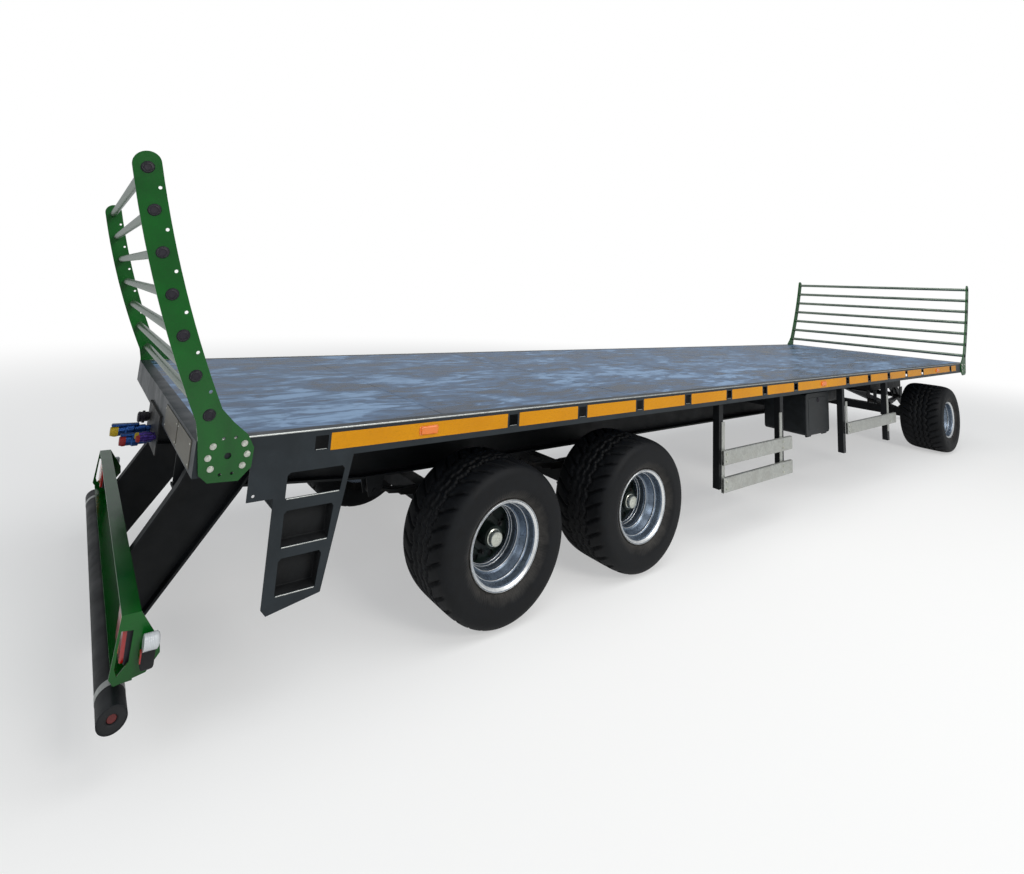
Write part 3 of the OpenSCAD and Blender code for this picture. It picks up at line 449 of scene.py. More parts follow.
# Bright finish that paints the highlights on the rims' flanges and dish steps.
RIM_HIGHLIGHT = plated_steel("painted_rim_highlight", "#d4d6d6", "#eceded", (0.3, 0.45))
PLATE = plated_steel("weathered_aluminium_sheet", "#5f5c52", "#7c786e", (0.4, 0.55))
RUBBER = tyre_rubber()
TAPE = reflective_tape()
AMBER = moulded_lens("amber_acrylic_lens", "#f07a10")
RED = moulded_lens("red_acrylic_lens", "#b01212")
CLEAR = moulded_lens("clear_acrylic_lens", "#cfd3d6")
NYLON = moulded_plastic("black_nylon_plug", "#15121a", "#2a2630", 2, (0.35, 0.5))
YELLOW_CAP = moulded_plastic("yellow_nylon_cap", "#9c8210", "#c0a41c", 2, (0.35, 0.5))
RED_CAP = moulded_plastic("red_nylon_cap", "#7c1416", "#a02a26", 2, (0.35, 0.5))
STALK = moulded_plastic("black_lamp_rubber", "#141516", "#26282a", 3, (0.6, 0.75))
RED_BROWN = moulded_plastic("red_brown_rubber", "#4a1f20", "#7a3a38", 3, (0.5, 0.65))
BOX = moulded_plastic("grained_polyethylene", "#16191b", "#282c2f", 2.5, (0.38, 0.55))
SILVER = silver_wheel_enamel()

NODE_FINISHES = {
    "deck_plate": DECK, "rear_rack_rungs": TUBE, "front_rack_rungs": TUBE, "lamp_carrier": GREEN,
    "side_guard_uprights": ZINC, "coupling_panel": SPRING, "blank_plates": PLATE,
    "rear_leaf_springs": SPRING, "front_leaf_springs": SPRING, "drawbar_eye": SPRING,
    "bogie_rockers": SPRING, "ladder": ANTHRACITE, "rear_beam": ANTHRACITE, "front_beam": ANTHRACITE}


def dress_cad_nodes():
    """Gives every CAD node that stays in view its finish."""
    for name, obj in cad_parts.items():
        choice = NODE_FINISHES.get(name)
        if choice is None:
            choice = (GREEN if "rack_post" in name else ANTHRACITE if "side_beam" in name
                      else CHASSIS)
        obj.data.materials.clear()
        obj.data.materials.append(choice)


# ---- wheels

# Millimetres: the tyre's radius, half width and bead place, the radii of the rim's flange and
# seat, and the radius at which the tyre is widest.
TYRE_R, TYRE_HALF, BEAD_A = 433.0, 245.5, 202.0
FLANGE_R, SEAT_R, SECTION_R = 238.5, 216.3, 320.0
LUG_PITCHES, GROOVE_DEPTH = 30, 15
# Steps of the tyre's grid, the first a multiple of the lugs.
AROUND, ACROSS = 510, 60
HAND_HOLES, HOLE_CIRCLE, HOLE_SINK = 8, 142, 26
NUTS, NUT_CIRCLE = 6, 102.5


def tyre_section():
    """Closed section of the tyre as radii and axial places: a superellipse of power 4.5 over
    the tread, walls drawn in to the beads by a power of 2.2, and a plain inside."""
    a = np.sin(np.linspace(-np.pi / 2, np.pi / 2, ACROSS)) * TYRE_HALF
    rise = np.maximum(1 - np.abs(a / TYRE_HALF) ** 4.5, 0) ** (1 / 4.5)
    crown = SECTION_R + (TYRE_R - SECTION_R) * rise
    fall = np.linspace(0, 1, 11)[1:]
    wall_r = SECTION_R - (SECTION_R - FLANGE_R) * fall
    wall_a = TYRE_HALF - (TYRE_HALF - BEAD_A) * fall ** 2.2
    inside = np.array([[SEAT_R, BEAD_A - 2], [SEAT_R, BEAD_A - 40], [300, 220], [392, 190]])
    r = np.concatenate([crown, wall_r, inside[:, 0], inside[::-1, 0], wall_r[::-1]])
    b = np.concatenate([a, wall_a, inside[:, 1], -inside[::-1, 1], -wall_a[::-1]])
    return r, b


def smoothstep(x, low, high):
    """Rises from 0 at low to 1 at high by t^2 (3 - 2t)."""
    t = np.clip((x - low) / (high - low), 0, 1)
    return t * t * (3 - 2 * t)


def tread_grooves(theta, a):
    """Depth from 0 to 1 of the tread's grooves: four zig-zag grooves run round it, 56 mm
    apart and swinging 11 mm, and slanting grooves part the shoulder lugs, narrower outwards
    and fading out down the wall."""
    phase = theta * LUG_PITCHES / (2 * np.pi)
    zigzag = 4 * np.abs(np.mod(phase, 1) - 0.5) - 1
    ribs = np.min([np.abs(a - row - 11 * zigzag) for row in (-84, -28, 28, 84)], axis=0)
    round_grooves = 1 - smoothstep(ribs, 5, 9)
    out = np.abs(a) - 92
    slant = phase - np.sign(a) * 0.25 + out / 150
    pitch = 2 * np.pi * TYRE_R / LUG_PITCHES
    off = np.abs(np.mod(slant, 1) - 0.5) * pitch
    slots = (1 - smoothstep(off, 8 - out / 40, 12 - out / 40)) * smoothstep(out, -2, 4)
    slots = slots * (1 - smoothstep(np.abs(a), 176, 222))
    return np.maximum(round_grooves * (np.abs(a) < 110), slots)


def tyre(name):
    """Turns the section about the axle at (cos t, sin t); each point sinks by its groove's depth
    inwards, partly to the middle plane and partly to 30 mm inside the widest radius."""
    low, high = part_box("tyre_" + name)
    side = 1 if low.y > 0 else -1
    x, y, z = (low.x + high.x) / 2, (low.y + high.y) / 2, (low.z + high.z) / 2
    r, a = tyre_section()
    theta = np.linspace(0, 2 * np.pi, AROUND, endpoint=False)[:, None]
    rows = np.arange(len(r))[None, :]
    groove = np.where(rows < ACROSS, tread_grooves(theta + 0 * rows, a[None, :] + 0 * theta), 0)
    inward = np.stack([SECTION_R - 30 - r, -0.55 * a], 0)
    inward /= np.linalg.norm(inward, axis=0)
    depth = GROOVE_DEPTH * groove
    rr, aa = (r + inward[0] * depth) * MM, (a + inward[1] * depth) * MM
    points = np.stack([x + rr * np.cos(theta), y + side * aa, z + rr * np.sin(theta)], -1)
    verts, quads = grid(points, True, True)
    mesh = bpy.data.meshes.new("tread_tyre_" + name)
    mesh.from_pydata(verts.tolist(), [], quads if side < 0 else [q[::-1] for q in quads])
    for label, values in (("from_axle", r[None, :] * MM + 0 * theta),
                          ("around", theta * 0.25 + 0 * rows), ("groove", groove)):
        mesh.attributes.new(label, "FLOAT", "POINT").data.foreach_set(
            "value", np.ascontiguousarray(values, np.float32).ravel())
    mesh.materials.append(RUBBER)
    mesh.shade_smooth()
    mesh.set_sharp_from_angle(angle=math.radians(50))
    obj = bpy.data.objects.new("tread_tyre_" + name, mesh)
    bpy.context.scene.collection.objects.link(obj)
    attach(obj, "wheel_" + name)
    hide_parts("tyre_" + name)


def rim_section():
    """Closed section of the pressed rim as (radius, axial place) in metres: rolled flanges, bead
    seats, the well between them, and a raised ring at each step of the dish."""
    a = np.linspace(214, 2, 64)
    dish = np.interp(a, [2, 78, 100, 142, 160, 196, 207, 214], [169, 169, 184, 206, 208, 213, 222, 230])
    for place, height, spread in ((150, 5, 5), (92, 5, 5), (24, 6, 5)):
        dish = dish - height * np.exp(-((a - place) / spread) ** 2)
    face = np.stack([dish, a], 1)
    lip = [[232, 215.8], [235.5, 214.5], [237.5, 211], [237.8, 207], [236, 203.4], [218, 203.4],
           [215.5, 200]]
    back = [[215.5, 143], [178, 83], [178, -113], [215.5, -153], [215.5, -200], [218, -203.4],
            [236, -203.4], [237.5, -209], [230, -214], [212, -213], [208, -200], [207, -155],
            [169, -115]]
    return np.concatenate([lip, back, face[::-1]]) * MM


def wheel(name):
    """Rim, disc, drum, hub and nuts of one wheel; sections are (radius, distance outwards from
    the middle of the tyre) in millimetres."""
    body = "wheel_" + name
    low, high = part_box(body)
    tyre_low, tyre_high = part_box("tyre_" + name)
    side = 1 if tyre_low.y > 0 else -1
    centre = ((low.x + high.x) / 2, (tyre_low.y + tyre_high.y) / 2, (low.z + high.z) / 2)
    piece("rim_" + name, [lathe(rim_section(), centre, "y", side, 128)], SILVER, body,
          (body,), 40)
    # Bright rings on the flange and on the steps of the dish, and a bright band over the flange, paint the
    # highlights that light leaves there.
    bright = ((233.5, 212.6), (202.5, 150), (174.5, 92), (163.5, 24), (168, 42))
    rings = [highlight_ring(r, a, centre, side) for r, a in bright]
    band = np.array([[216, 204], [221, 209], [229, 213.5], [234.5, 216], [237.9, 213], [238.4, 207],
                     [230, 206]]) * MM
    rings.append(lathe(band, centre, "y", side, 128))
    piece("rim_highlights_" + name, rings, RIM_HIGHLIGHT, body, (), 60)
    piece("wheel_disc_" + name, [wheel_disc(centre, side)], DARK_GREEN, body, (), 30)
    drum = np.array([[40, -15], [159, -15], [160, -19], [160, -119], [156, -125], [40, -125]]) * MM
    piece("brake_drum_" + name, [lathe(drum, centre, "y", side, 64)], CHASSIS, body)
    hub = np.array([[36, -15], [60, -15], [100, -2], [100, 9], [96, 13], [64, 15], [60, 50],
                    [56, 93], [53, 98], [36, 98]]) * MM
    cap = np.array([[0, 92], [46, 92], [47, 98], [42, 101], [41, 121], [38, 126], [33, 128],
                    [0, 128]]) * MM
    collar = np.array([[46, 84], [58, 84], [61, 87], [61, 92], [58, 95], [46, 95]]) * MM
    piece("hub_" + name, [lathe(hub, centre, "y", side, 48), lathe(collar, centre, "y", side, 48)],
          DARK_GREEN, body)
    piece("hub_cap_" + name, [lathe(cap, centre, "y", side, 48, False)], BOLT, body)
    nuts = [nut(centre, side, 2 * math.pi * k / NUTS + 0.3) for k in range(NUTS)]
    piece("wheel_nuts_" + name, nuts, SPRING, body, (), 25)


def highlight_ring(r, a, centre, side, bead=2.2):
    """Thin bright ring that paints the highlight on a fold of the rim: a circle of radius bead, turned about
    the axle."""
    t = np.linspace(0, 2 * np.pi, 12, endpoint=False)
    section = np.stack([r + bead * np.cos(t), a + bead * np.sin(t)], 1) * MM
    return lathe(section, centre, "y", side, 128)


def wheel_disc(centre, side):
    """Pressed disc between hub and rim: rings from 62 to 172 mm, domed by 6 mm times the
    square of the way out, with round hand holes sunk by a smooth step beyond its nuts."""
    r = np.concatenate([np.linspace(62, 172, 26), [172, 62]])
    face = np.concatenate([np.ones(26), [0, 0]])
    t = np.linspace(0, 2 * np.pi, 192, endpoint=False)[:, None]
    hole = np.abs(np.mod(t * HAND_HOLES / (2 * np.pi), 1) - 0.5) / HAND_HOLES * 2 * np.pi * HOLE_CIRCLE
    sunk = 1 - smoothstep(np.hypot(hole, r[None, :] - HOLE_CIRCLE), 15, 19)
    a = np.where(face > 0, 1 - 6 * ((r - 62) / 110) ** 2 - HOLE_SINK * sunk, -31 + 0 * sunk)
    points = np.stack([centre[0] + r * MM * np.cos(t), centre[1] + side * a * MM,
                       centre[2] + r * MM * np.sin(t)], -1)
    return grid(points, True, True)


def nut(centre, side, angle):
    """Hexagon nut with the end of its stud, on the nut circle."""
    x = centre[0] + NUT_CIRCLE * MM * math.cos(angle)
    z = centre[2] + NUT_CIRCLE * MM * math.sin(angle)
    section = [[0, -5], [17, -5], [17, 15], [14, 18], [9, 18], [9, 30], [7, 32], [0, 32]]
    return lathe(np.array(section) * MM, (x, centre[1], z), "y", side, 6, False)


# ---- edge of the platform

def stations():
    """Number and X of each station of slots and lamps."""
    return [(i, REAR_X + SLOT_FIRST + i * SLOT_PITCH) for i in range(STATION_COUNT)]


def edge_tape():
    """Reflective strips 75 mm high along both side beams, broken at each lashing slot; the
    last one ends short behind the front rack."""
    low, high, gap, last = SLOT_Z - 38 * MM, SLOT_Z + 37 * MM, 42 * MM, 230 * MM
    cuts = [x for i, x in stations() if i not in LAMP_STATIONS]
    ends = [x - gap for x in cuts[1:]] + [cuts[-1] + last]
    strips = [slab((x + gap, HALF_W - 0.2 * MM, low), (end, HALF_W + 0.6 * MM, high),
                   2 * MM, 0.1 * MM, "y") for x, end in zip(cuts, ends)]
    for side, s in SIDES:
        parts = strips if s > 0 else [mirrored(p) for p in strips]
        piece("reflective_tape_" + side, parts, TAPE, "chassis")


def slot_linings():
    """Bright lower lip left by the punch in each lashing slot, as a thin bent strip."""
    half = 24 * MM
    parts = [slab((x - half, HALF_W - 4 * MM, SLOT_Z - 29.5 * MM),
                  (x + half, HALF_W + 1.5 * MM, SLOT_Z - 27.5 * MM), 0.8 * MM, 0.4 * MM, "x")
             for i, x in stations() if i not in LAMP_STATIONS]
    piece("slot_lips", both_sides(parts), SHEET, "chassis")


def marker_lamps():
    """Amber side markers: a rounded lens, crowned outwards, on a base of the same amber."""
    lens, base = [], []
    for i, x in stations():
        if i in LAMP_STATIONS:
            lens.append(slab((x - 46 * MM, HALF_W + 2 * MM, SLOT_Z - 19 * MM),
                             (x + 46 * MM, HALF_W + 12 * MM, SLOT_Z + 19 * MM), 12 * MM, 3 * MM, "y"))
            base.append(slab((x - 54 * MM, HALF_W, SLOT_Z - 21.5 * MM),
                             (x + 54 * MM, HALF_W + 4 * MM, SLOT_Z + 21.5 * MM), 8 * MM, 1 * MM, "y"))
    piece("marker_lenses", both_sides(lens), AMBER, "chassis",
          ("side_marker_lamps",))
    piece("marker_bases", both_sides(base), AMBER, "chassis")


def deck_details():
    """Weld beads across the deck where its sheets meet, standing 0.8 mm proud, and a bright round bead along
    each long edge that paints the highlight on the top edge of the side beams."""
    first = math.ceil((REAR_X + 0.2) / SHEET_LEN) * SHEET_LEN
    seams = np.arange(first, FRONT_X - 0.2, SHEET_LEN)
    half = HALF_W - 62 * MM
    bead = slab((-3 * MM, -half, DECK_Z - 1 * MM), (3 * MM, half, DECK_Z + 0.8 * MM),
                1 * MM, 0.4 * MM, "y")
    # Bright beads along the long edges paint the highlight on the top edge of the side beams.
    edge = np.array([[0, at(60)], [4 * MM, at(60)], [4 * MM, at(DECK_LEN / MM - 60)],
                     [0, at(DECK_LEN / MM - 60)]])
    beads = [lathe(edge, (0, s * (HALF_W - 2.8 * MM), DECK_Z - 2.8 * MM), "x", 1, 16, False)
             for s in (1, -1)]
    piece("edge_highlight_beads", beads, SHEET, "chassis")
    piece("deck_weld_beads", [copies(bead, [[x, 0, 0] for x in seams])], DECK, "chassis")


# ---- end racks

RUNGS, RUNG_PITCH = 7, 170.0
LEAN_LOW, LEAN_HIGH = math.radians(24.5), math.radians(14.0)
RACK_R = (RUNGS - 1) * RUNG_PITCH / (LEAN_LOW - LEAN_HIGH)


def rack_point(run):
    """Point of a rack's arc at a run above its lowest rung, as (X station, Z) in millimetres:
    the arc's lean falls with the run from its lowest value."""
    lean = LEAN_LOW - run / RACK_R
    return (32 - RACK_R * (math.cos(lean) - math.cos(LEAN_LOW)),
            DECK_Z / MM + 102 + RACK_R * (math.sin(LEAN_LOW) - math.sin(lean)))


def rack_x(x, is_front):
    """Frame X of a rack's station, counted inwards from the platform's own end."""
    return FRONT_X - x * MM if is_front else REAR_X + x * MM


def rack_details(is_front):
    """Plugs in the rungs' ends with the rings round them, and the bolts of the lobe at each
    post's foot."""
    label = "front" if is_front else "rear"
    out = HALF_W + 12 * MM
    plugs, rings, bolts = [], [], []
    for k in range(RUNGS):
        x, z = rack_point(k * RUNG_PITCH)
        centre = (rack_x(x, is_front), 0, z * MM)
        plug = np.array([[0, -12], [17, -12], [18, 5.4], [16.5, 7.2], [13, 7.8], [12, 5.6],
                         [0, 5.2]]) * MM
        plug[:, 1] += out
        plugs.append(lathe(plug, centre, "y", 1, 40, False))
        ring = np.array([[18.2, 5], [22.5, 0.2], [24.2, 0.2], [23.6, 1.6], [21, 6.4], [18.2, 6.4]]) * MM
        ring[:, 1] += out
        rings.append(lathe(ring, centre, "y", 1, 40))
    bolt_circle = 73
    for angle in (0, 36, 144, 180, 216, 324):
        x = 120 + bolt_circle * math.cos(math.radians(angle))
        z = DECK_Z / MM - 65 + bolt_circle * math.sin(math.radians(angle))
        bolts += bolt_at((rack_x(x, is_front), out, z * MM), "y", 1)
    piece(f"rung_plugs_{label}", both_sides(plugs), NYLON, "chassis")
    piece(f"rung_weld_rings_{label}", both_sides(rings), NYLON, "chassis")
    piece(f"lobe_bolts_{label}", both_sides(bolts), BOLT, "chassis", (), 25)


def bolt_at(place, axis, side, across=9.5):
    """Washer, hexagon head and its chamfer, standing out of a face along an axis; across is
    the head's half width in millimetres."""
    w = AXES[axis][2]
    washer = np.array([[0, 0], [across + 3, 0], [across + 3.4, 0.6], [across + 3, 2.2], [0, 2.2]]) * MM
    head = np.array([[0, 2], [across, 2], [across + 1, 3], [across + 1, 6], [across - 2, 7.5],
                     [0, 7.6]]) * MM
    centre = [c if i == w else c for i, c in enumerate(place)]
    return [lathe(washer, centre, axis, side, 20, False), lathe(head, centre, axis, side, 6, False)]


# ---- ladder, guards and toolbox

def ladder_lips():
    """Folded bright lower lips of the ladder's openings, and dark panels at the back of its two step pockets
    that paint the shade inside them. The tables give the rear and front stations and how far below the beam
    each lies."""
    y = -HALF_W
    lips = []
    for x0, x1, drop in ((373, 615, 149), (375, 578, 344), (372, 542, 534)):
        z = BEAM_LOW - drop * MM
        lips.append(slab((at(x0 + 4), y - 1.5 * MM, z - 5 * MM),
                         (at(x1 - 4), y + 9 * MM, z - 0.5 * MM), 2 * MM, 1 * MM, "x"))
    piece("ladder_step_lips", lips, SHEET, "chassis")
    # Dark panels at the back of the step pockets paint the shade that fills them.
    pocket_shade_panels = []
    for x0, x1, low, high in ((353, 596, 344, 199), (350, 560, 534, 389)):
        z0, z1 = BEAM_LOW - (low - 1) * MM, BEAM_LOW - (high + 1) * MM
        box = (at(x0 + 5), at(x1 - 5), z0, z1)
        pocket_shade_panels.append(tray(box, y + 6 * MM, y + 79 * MM, 1 * MM, 10 * MM))
    piece("step_pocket_painted_shade", pocket_shade_panels, STALK, "chassis")


def guard_planks():
    """Galvanised guard planks: a channel with rounded folds, open to the inside, so its face
    shows two long soft edges. The section is carried along X, and four bolts hold each."""
    sheet, lip, high, y = 3 * MM, 24 * MM, 110 * MM, HALF_W
    edge, fold, inner_fold = 1 * MM, 7 * MM, 4 * MM
    parts, bolts = [], []
    for x0, x1, z in plank_places():
        top = z + high
        section = rounded([[y - lip, z], [y, z], [y, top], [y - lip, top], [y - lip, top - sheet],
                           [y - sheet, top - sheet], [y - sheet, z + sheet], [y - lip, z + sheet]],
                          [edge, fold, fold, edge, edge, inner_fold, inner_fold, edge], 4)
        parts.append(prism(section, x0, x1, "x"))
        for x in (x0 + 40 * MM, x1 - 160 * MM):
            for up in (30 * MM, 80 * MM):
                bolts += bolt_at((x, y, z + up), "y", 1, 7)
    piece("guard_planks", both_sides(parts), ZINC, "chassis",
          ("side_guard_planks",), 30)
    piece("guard_bolts", both_sides(bolts), BOLT, "chassis", (), 25)


def plank_places():
    """Rear X, front X and lower Z of each plank: two behind the toolbox, placed from the second
    rear axle, and one before it, placed from the turntable."""
    rear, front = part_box("tyre_rear_2_right"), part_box("tyre_front_right")
    behind = (rear[0].x + rear[1].x) / 2 + 915 * MM
    before = (front[0].x + front[1].x) / 2 - 3220 * MM
    return [(behind, behind + 1080 * MM, 378 * MM), (behind, behind + 1080 * MM, 580 * MM),
            (before - 20 * MM, before + 1260 * MM, 585 * MM)]


def toolbox():
    """Moulded box: rounded shell with shallow stiffening ribs on its brackets, its lid with a
    raised panel, hinges of lugs and knuckles, and a round lock with its key cover."""
    bracket_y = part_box("toolbox")[1].y
    lid_low, lid_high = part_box("toolbox_lid")
    depth, height, wall, corner = 400 * MM, 400 * MM, 5 * MM, 34 * MM
    x0, x1, z0, z1 = lid_low.x, lid_high.x, lid_high.z - height, lid_high.z
    # The lock stands 10 mm out of the lid's face.
    y_face = lid_low.y + 10 * MM
    y_out = y_face + 26.5 * MM
    y_in = y_out + depth
    box = (x0, x1, z0, z1)
    shell = [tray(box, y_out, y_in, wall, corner)]
    for x in (x0 + 60 * MM, x1 - 110 * MM):
        shell.append(slab((x, y_in - 1 * MM, z0 + 200 * MM), (x + 50 * MM, bracket_y, z0 + 260 * MM)))
    for k in range(5):
        x = x0 + (52 + 92 * k) * MM
        shell.append(slab((x, y_out + 60 * MM, z1 - 2 * MM), (x + 18 * MM, y_in - 40 * MM, z1 + 1.5 * MM),
                          1 * MM, 0.5 * MM))
    panel = slab((x0 + 46 * MM, y_face - 2.5 * MM, z0 + 46 * MM),
                 (x1 - 46 * MM, y_face + 2 * MM, z1 - 46 * MM), 26 * MM, 2 * MM, "y")
    lid = [tray(box, y_out - 0.5 * MM, y_face, wall, corner), panel]
    pin_y, pin_z, pin_r = y_out - 0.25 * MM, z0 - 9.5 * MM, 9 * MM
    for x in (x0 + 60 * MM, x1 - 100 * MM):
        lid.append(bar((0, pin_y, pin_z), pin_r, x, x + 40 * MM, "x", 24))
        lid.append(slab((x, y_face + 4 * MM, pin_z), (x + 40 * MM, pin_y, z0 + 4 * MM), 1 * MM, 0.5 * MM))
        for start in (x - 20.5 * MM, x + 40.5 * MM):
            end = start + 20 * MM
            shell.append(bar((0, pin_y, pin_z), pin_r, start, end, "x", 24))
            shell.append(slab((start, pin_y + 2 * MM, pin_z), (end, y_out + 9 * MM, z0 + 3 * MM),
                              1 * MM, 0.5 * MM))
    piece("toolbox_shell", shell, BOX, "chassis", ("toolbox",), 25)
    piece("toolbox_door", lid, BOX, "box_lid", ("toolbox_lid",), 25)
    lock_x, lock_z = (x0 + x1) / 2, z1 - 75 * MM
    rim = np.array([[0, 0], [24, 0], [24, 5], [21, 9], [15, 10], [12, 6], [0, 6]]) * MM
    key = slab((lock_x - 4 * MM, y_face - 9 * MM, lock_z - 10 * MM),
               (lock_x + 4 * MM, y_face - 5 * MM, lock_z + 10 * MM), 3 * MM, 1 * MM, "y")
    piece("toolbox_lock", [lathe(rim, (lock_x, y_face, lock_z), "y", -1, 40, False), key], NYLON,
          "box_lid")


def tray(box, y_open, y_closed, wall, corner):
    """Open shell with rounded corners: rings run from its floor inside, a wall's thickness in,
    over the rim and back along its outside to the closed face, whose edge is drawn in by 5 mm."""
    x0, x1, z0, z1 = box
    s = 1 if y_closed > y_open else -1
    inset = 5 * MM
    outer, inner, drawn = [
        rounded(rectangle(z0 + d, x0 + d, z1 - d, x1 - d), corner - d, 6) for d in (0, wall, inset)]
    rings = [(inner, y_closed - s * wall), (inner, y_open), (outer, y_open),
             (outer, y_closed - s * 6 * MM), (drawn, y_closed)]
    points = np.stack([np.stack([o[:, 1], np.full(len(o), y), o[:, 0]], 1) for o, y in rings])
    verts, quads = grid(points, wrap_v=True)
    n = len(outer)
    return verts, quads + [list(range(n)), list(range(4 * n, 5 * n))[::-1]]


# ---- rear end

def underrun_details():
    """Rubber plug in each end of the guard tube, with a red-brown boss in its middle, and a
    worn bright strap round the tube near the lamp plate."""
    low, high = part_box("underrun_tube")
    x, z, r = (low.x + high.x) / 2, (low.z + high.z) / 2, (high.z - low.z) / 2
    plug = np.array([[0.36 * r, -14 * MM], [0.36 * r, -5 * MM], [0.44 * r, -1 * MM], [0.84 * r, 0],
                     [r - 1 * MM, -2 * MM], [r - 5.2 * MM, -2.2 * MM], [r - 5.2 * MM, -30 * MM],
                     [0.36 * r, -30 * MM]])
    boss = np.array([[0, -9 * MM], [0.3 * r, -9 * MM], [0.36 * r, -13 * MM], [0.36 * r, -24 * MM],
                     [0, -24 * MM]])
    strap = np.array([[r - 1 * MM, -170 * MM], [r + 1.2 * MM, -170 * MM], [r + 1.2 * MM, -130 * MM],
                      [r - 1 * MM, -130 * MM]])
    for name, section, made, closed in (("tube_plugs", plug, STALK, True),
                                        ("tube_plug_bosses", boss, RED_BROWN, False),
                                        ("tube_straps", strap, SHEET, True)):
        section[:, 1] += high.y
        part = lathe(section, (x, 0, z), "y", 1, 64, closed)
        piece(name, both_sides([part]), made, "chassis")


def tail_lamps():
    """Three-chamber rear lamps: red, amber and red lens side by side on a black housing."""
    low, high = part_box("tail_lamps")
    width = 220 * MM
    inner_y = high.y - width
    house = slab((low.x + 14 * MM, inner_y, low.z), high, 10 * MM, 3 * MM, "x")
    piece("tail_lamp_housings", both_sides([house]), NYLON, "chassis", ("tail_lamps",))
    cells = ((0.03, 0.36, RED), (0.37, 0.66, AMBER), (0.67, 0.97, RED))
    for k, (a, b, lens) in enumerate(cells):
        part = slab((low.x, inner_y + a * width, low.z + 7 * MM),
                    (low.x + 18 * MM, inner_y + b * width, high.z - 7 * MM), 7 * MM, 4 * MM, "x")
        piece(f"tail_lamp_lens_{k + 1}", both_sides([part]), lens, "chassis")


def outline_lamps():
    """Outline lamps: a moulded rubber arm with a red lens to the rear, and above it a ribbed
    clear lens, a stack of rings whose radius swings by 1.2 mm as 1 - cos, once every 6 mm, and
    closes at the front by a power of 0.3."""
    low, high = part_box("outline_lamps")
    r = 30 * MM
    arm = slab((low.x + 4 * MM, high.y - 70 * MM, low.z),
               (high.x - 10 * MM, high.y - 26 * MM, low.z + 74 * MM), 12 * MM, 5 * MM, "y")
    piece("outline_lamp_arms", both_sides([arm]), STALK, "chassis", ("outline_lamps",))
    along = np.linspace(low.x + 4 * MM, high.x, 40)
    ribs = r - 1.2 * MM * (1 - np.cos((along - low.x) / (6 * MM) * 2 * np.pi)) / 2
    ribs *= np.clip((high.x - along) / (9 * MM), 0, 1) ** 0.3
    section = np.concatenate([[[0, low.x + 4 * MM]], np.stack([ribs, along], 1)])
    clear = lathe(section, (0, high.y - r, high.z - r), "x", 1, 48, False)
    piece("outline_lamp_clear", both_sides([clear]), CLEAR, "chassis", (), 60)
    red = slab((low.x, high.y - 62 * MM, low.z + 22 * MM),
               (low.x + 6 * MM, high.y - 32 * MM, low.z + 66 * MM), 8 * MM, 2 * MM, "x")
    piece("outline_lamp_red", both_sides([red]), RED, "chassis")


# Coupling heads as (body, cap, Y, height above the row's level, radius, length), millimetres.
HEADS = ((VIOLET_ALLOY, RED_CAP, -215, -30, 20, 90), (VIOLET_ALLOY, YELLOW_CAP, -150, -30, 20, 90),
         (BLUE_ALLOY, RED_CAP, -60, -70, 32, 150), (BLUE_ALLOY, YELLOW_CAP, 45, -40, 32, 190),
         (NYLON, NYLON, 150, 5, 34, 60))


def couplings():
    """Rear couplings, each on the axis of its CAD head: two quick couplings with coloured caps,
    two blue palm couplings whose flat claw stands over the body, and a lamp socket."""
    head_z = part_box("coupling_heads")[1].z - 39 * MM
    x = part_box("coupling_panel")[0].x
    groups = {BLUE_ALLOY: [], VIOLET_ALLOY: [], RED_CAP: [], YELLOW_CAP: [], NYLON: []}
    for body, cap, y, up, r, length in HEADS:
        centre = (x, y * MM, head_z + up * MM)
        barrel = [[0, 0], [0.6 * r, 0], [0.6 * r, 0.12 * length], [0.78 * r, 0.14 * length],
                  [0.78 * r, 0.4 * length], [r, 0.42 * length], [r, 0.6 * length],
                  [0.82 * r, 0.64 * length], [0.82 * r, 0.84 * length], [0, 0.84 * length]]
        lid = [[0, 0.8 * length], [0.86 * r, 0.8 * length], [0.9 * r, 0.88 * length],
               [0.7 * r, 0.99 * length], [0, length]]
        groups[body].append(lathe(np.array(barrel) * MM, centre, "x", -1, 40, False))
        groups[cap].append(lathe(np.array(lid) * MM, centre, "x", -1, 32, False))
        if body is BLUE_ALLOY:
            claw = slab((centre[0] - 0.98 * length * MM, centre[1] - 20 * MM, centre[2] + 0.62 * r * MM),
                        (centre[0] - 0.3 * length * MM, centre[1] + 20 * MM, centre[2] + 0.98 * r * MM),
                        9 * MM, 2 * MM)
            groups[body].append(turned(claw, 0.04, centre))
    for k, (alloy, parts) in enumerate(groups.items()):
        piece("coupling_" + alloy.name, parts, alloy, "chassis",
              ("coupling_heads",) if k == 0 else ())


def plate_screws():
    """Screws in the corners of the two blank plates."""
    low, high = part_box("blank_plates")
    head = np.array([[0, 0], [4.5, 0], [4.5, 1], [2.5, 2.6], [0, 2.8]]) * MM
    screws = [lathe(head, (low.x, y, z), "x", -1, 16, False)
              for y in (-1.145, -0.815, -0.765, -0.395) for z in (low.z + 16 * MM, high.z - 16 * MM)]
    piece("plate_screws", screws, BOLT, "chassis")


# ---- running gear

AXLES = (("rear_1", "chassis"), ("rear_2", "chassis"), ("front", "dolly"))
SPRING_Y = 450 * MM


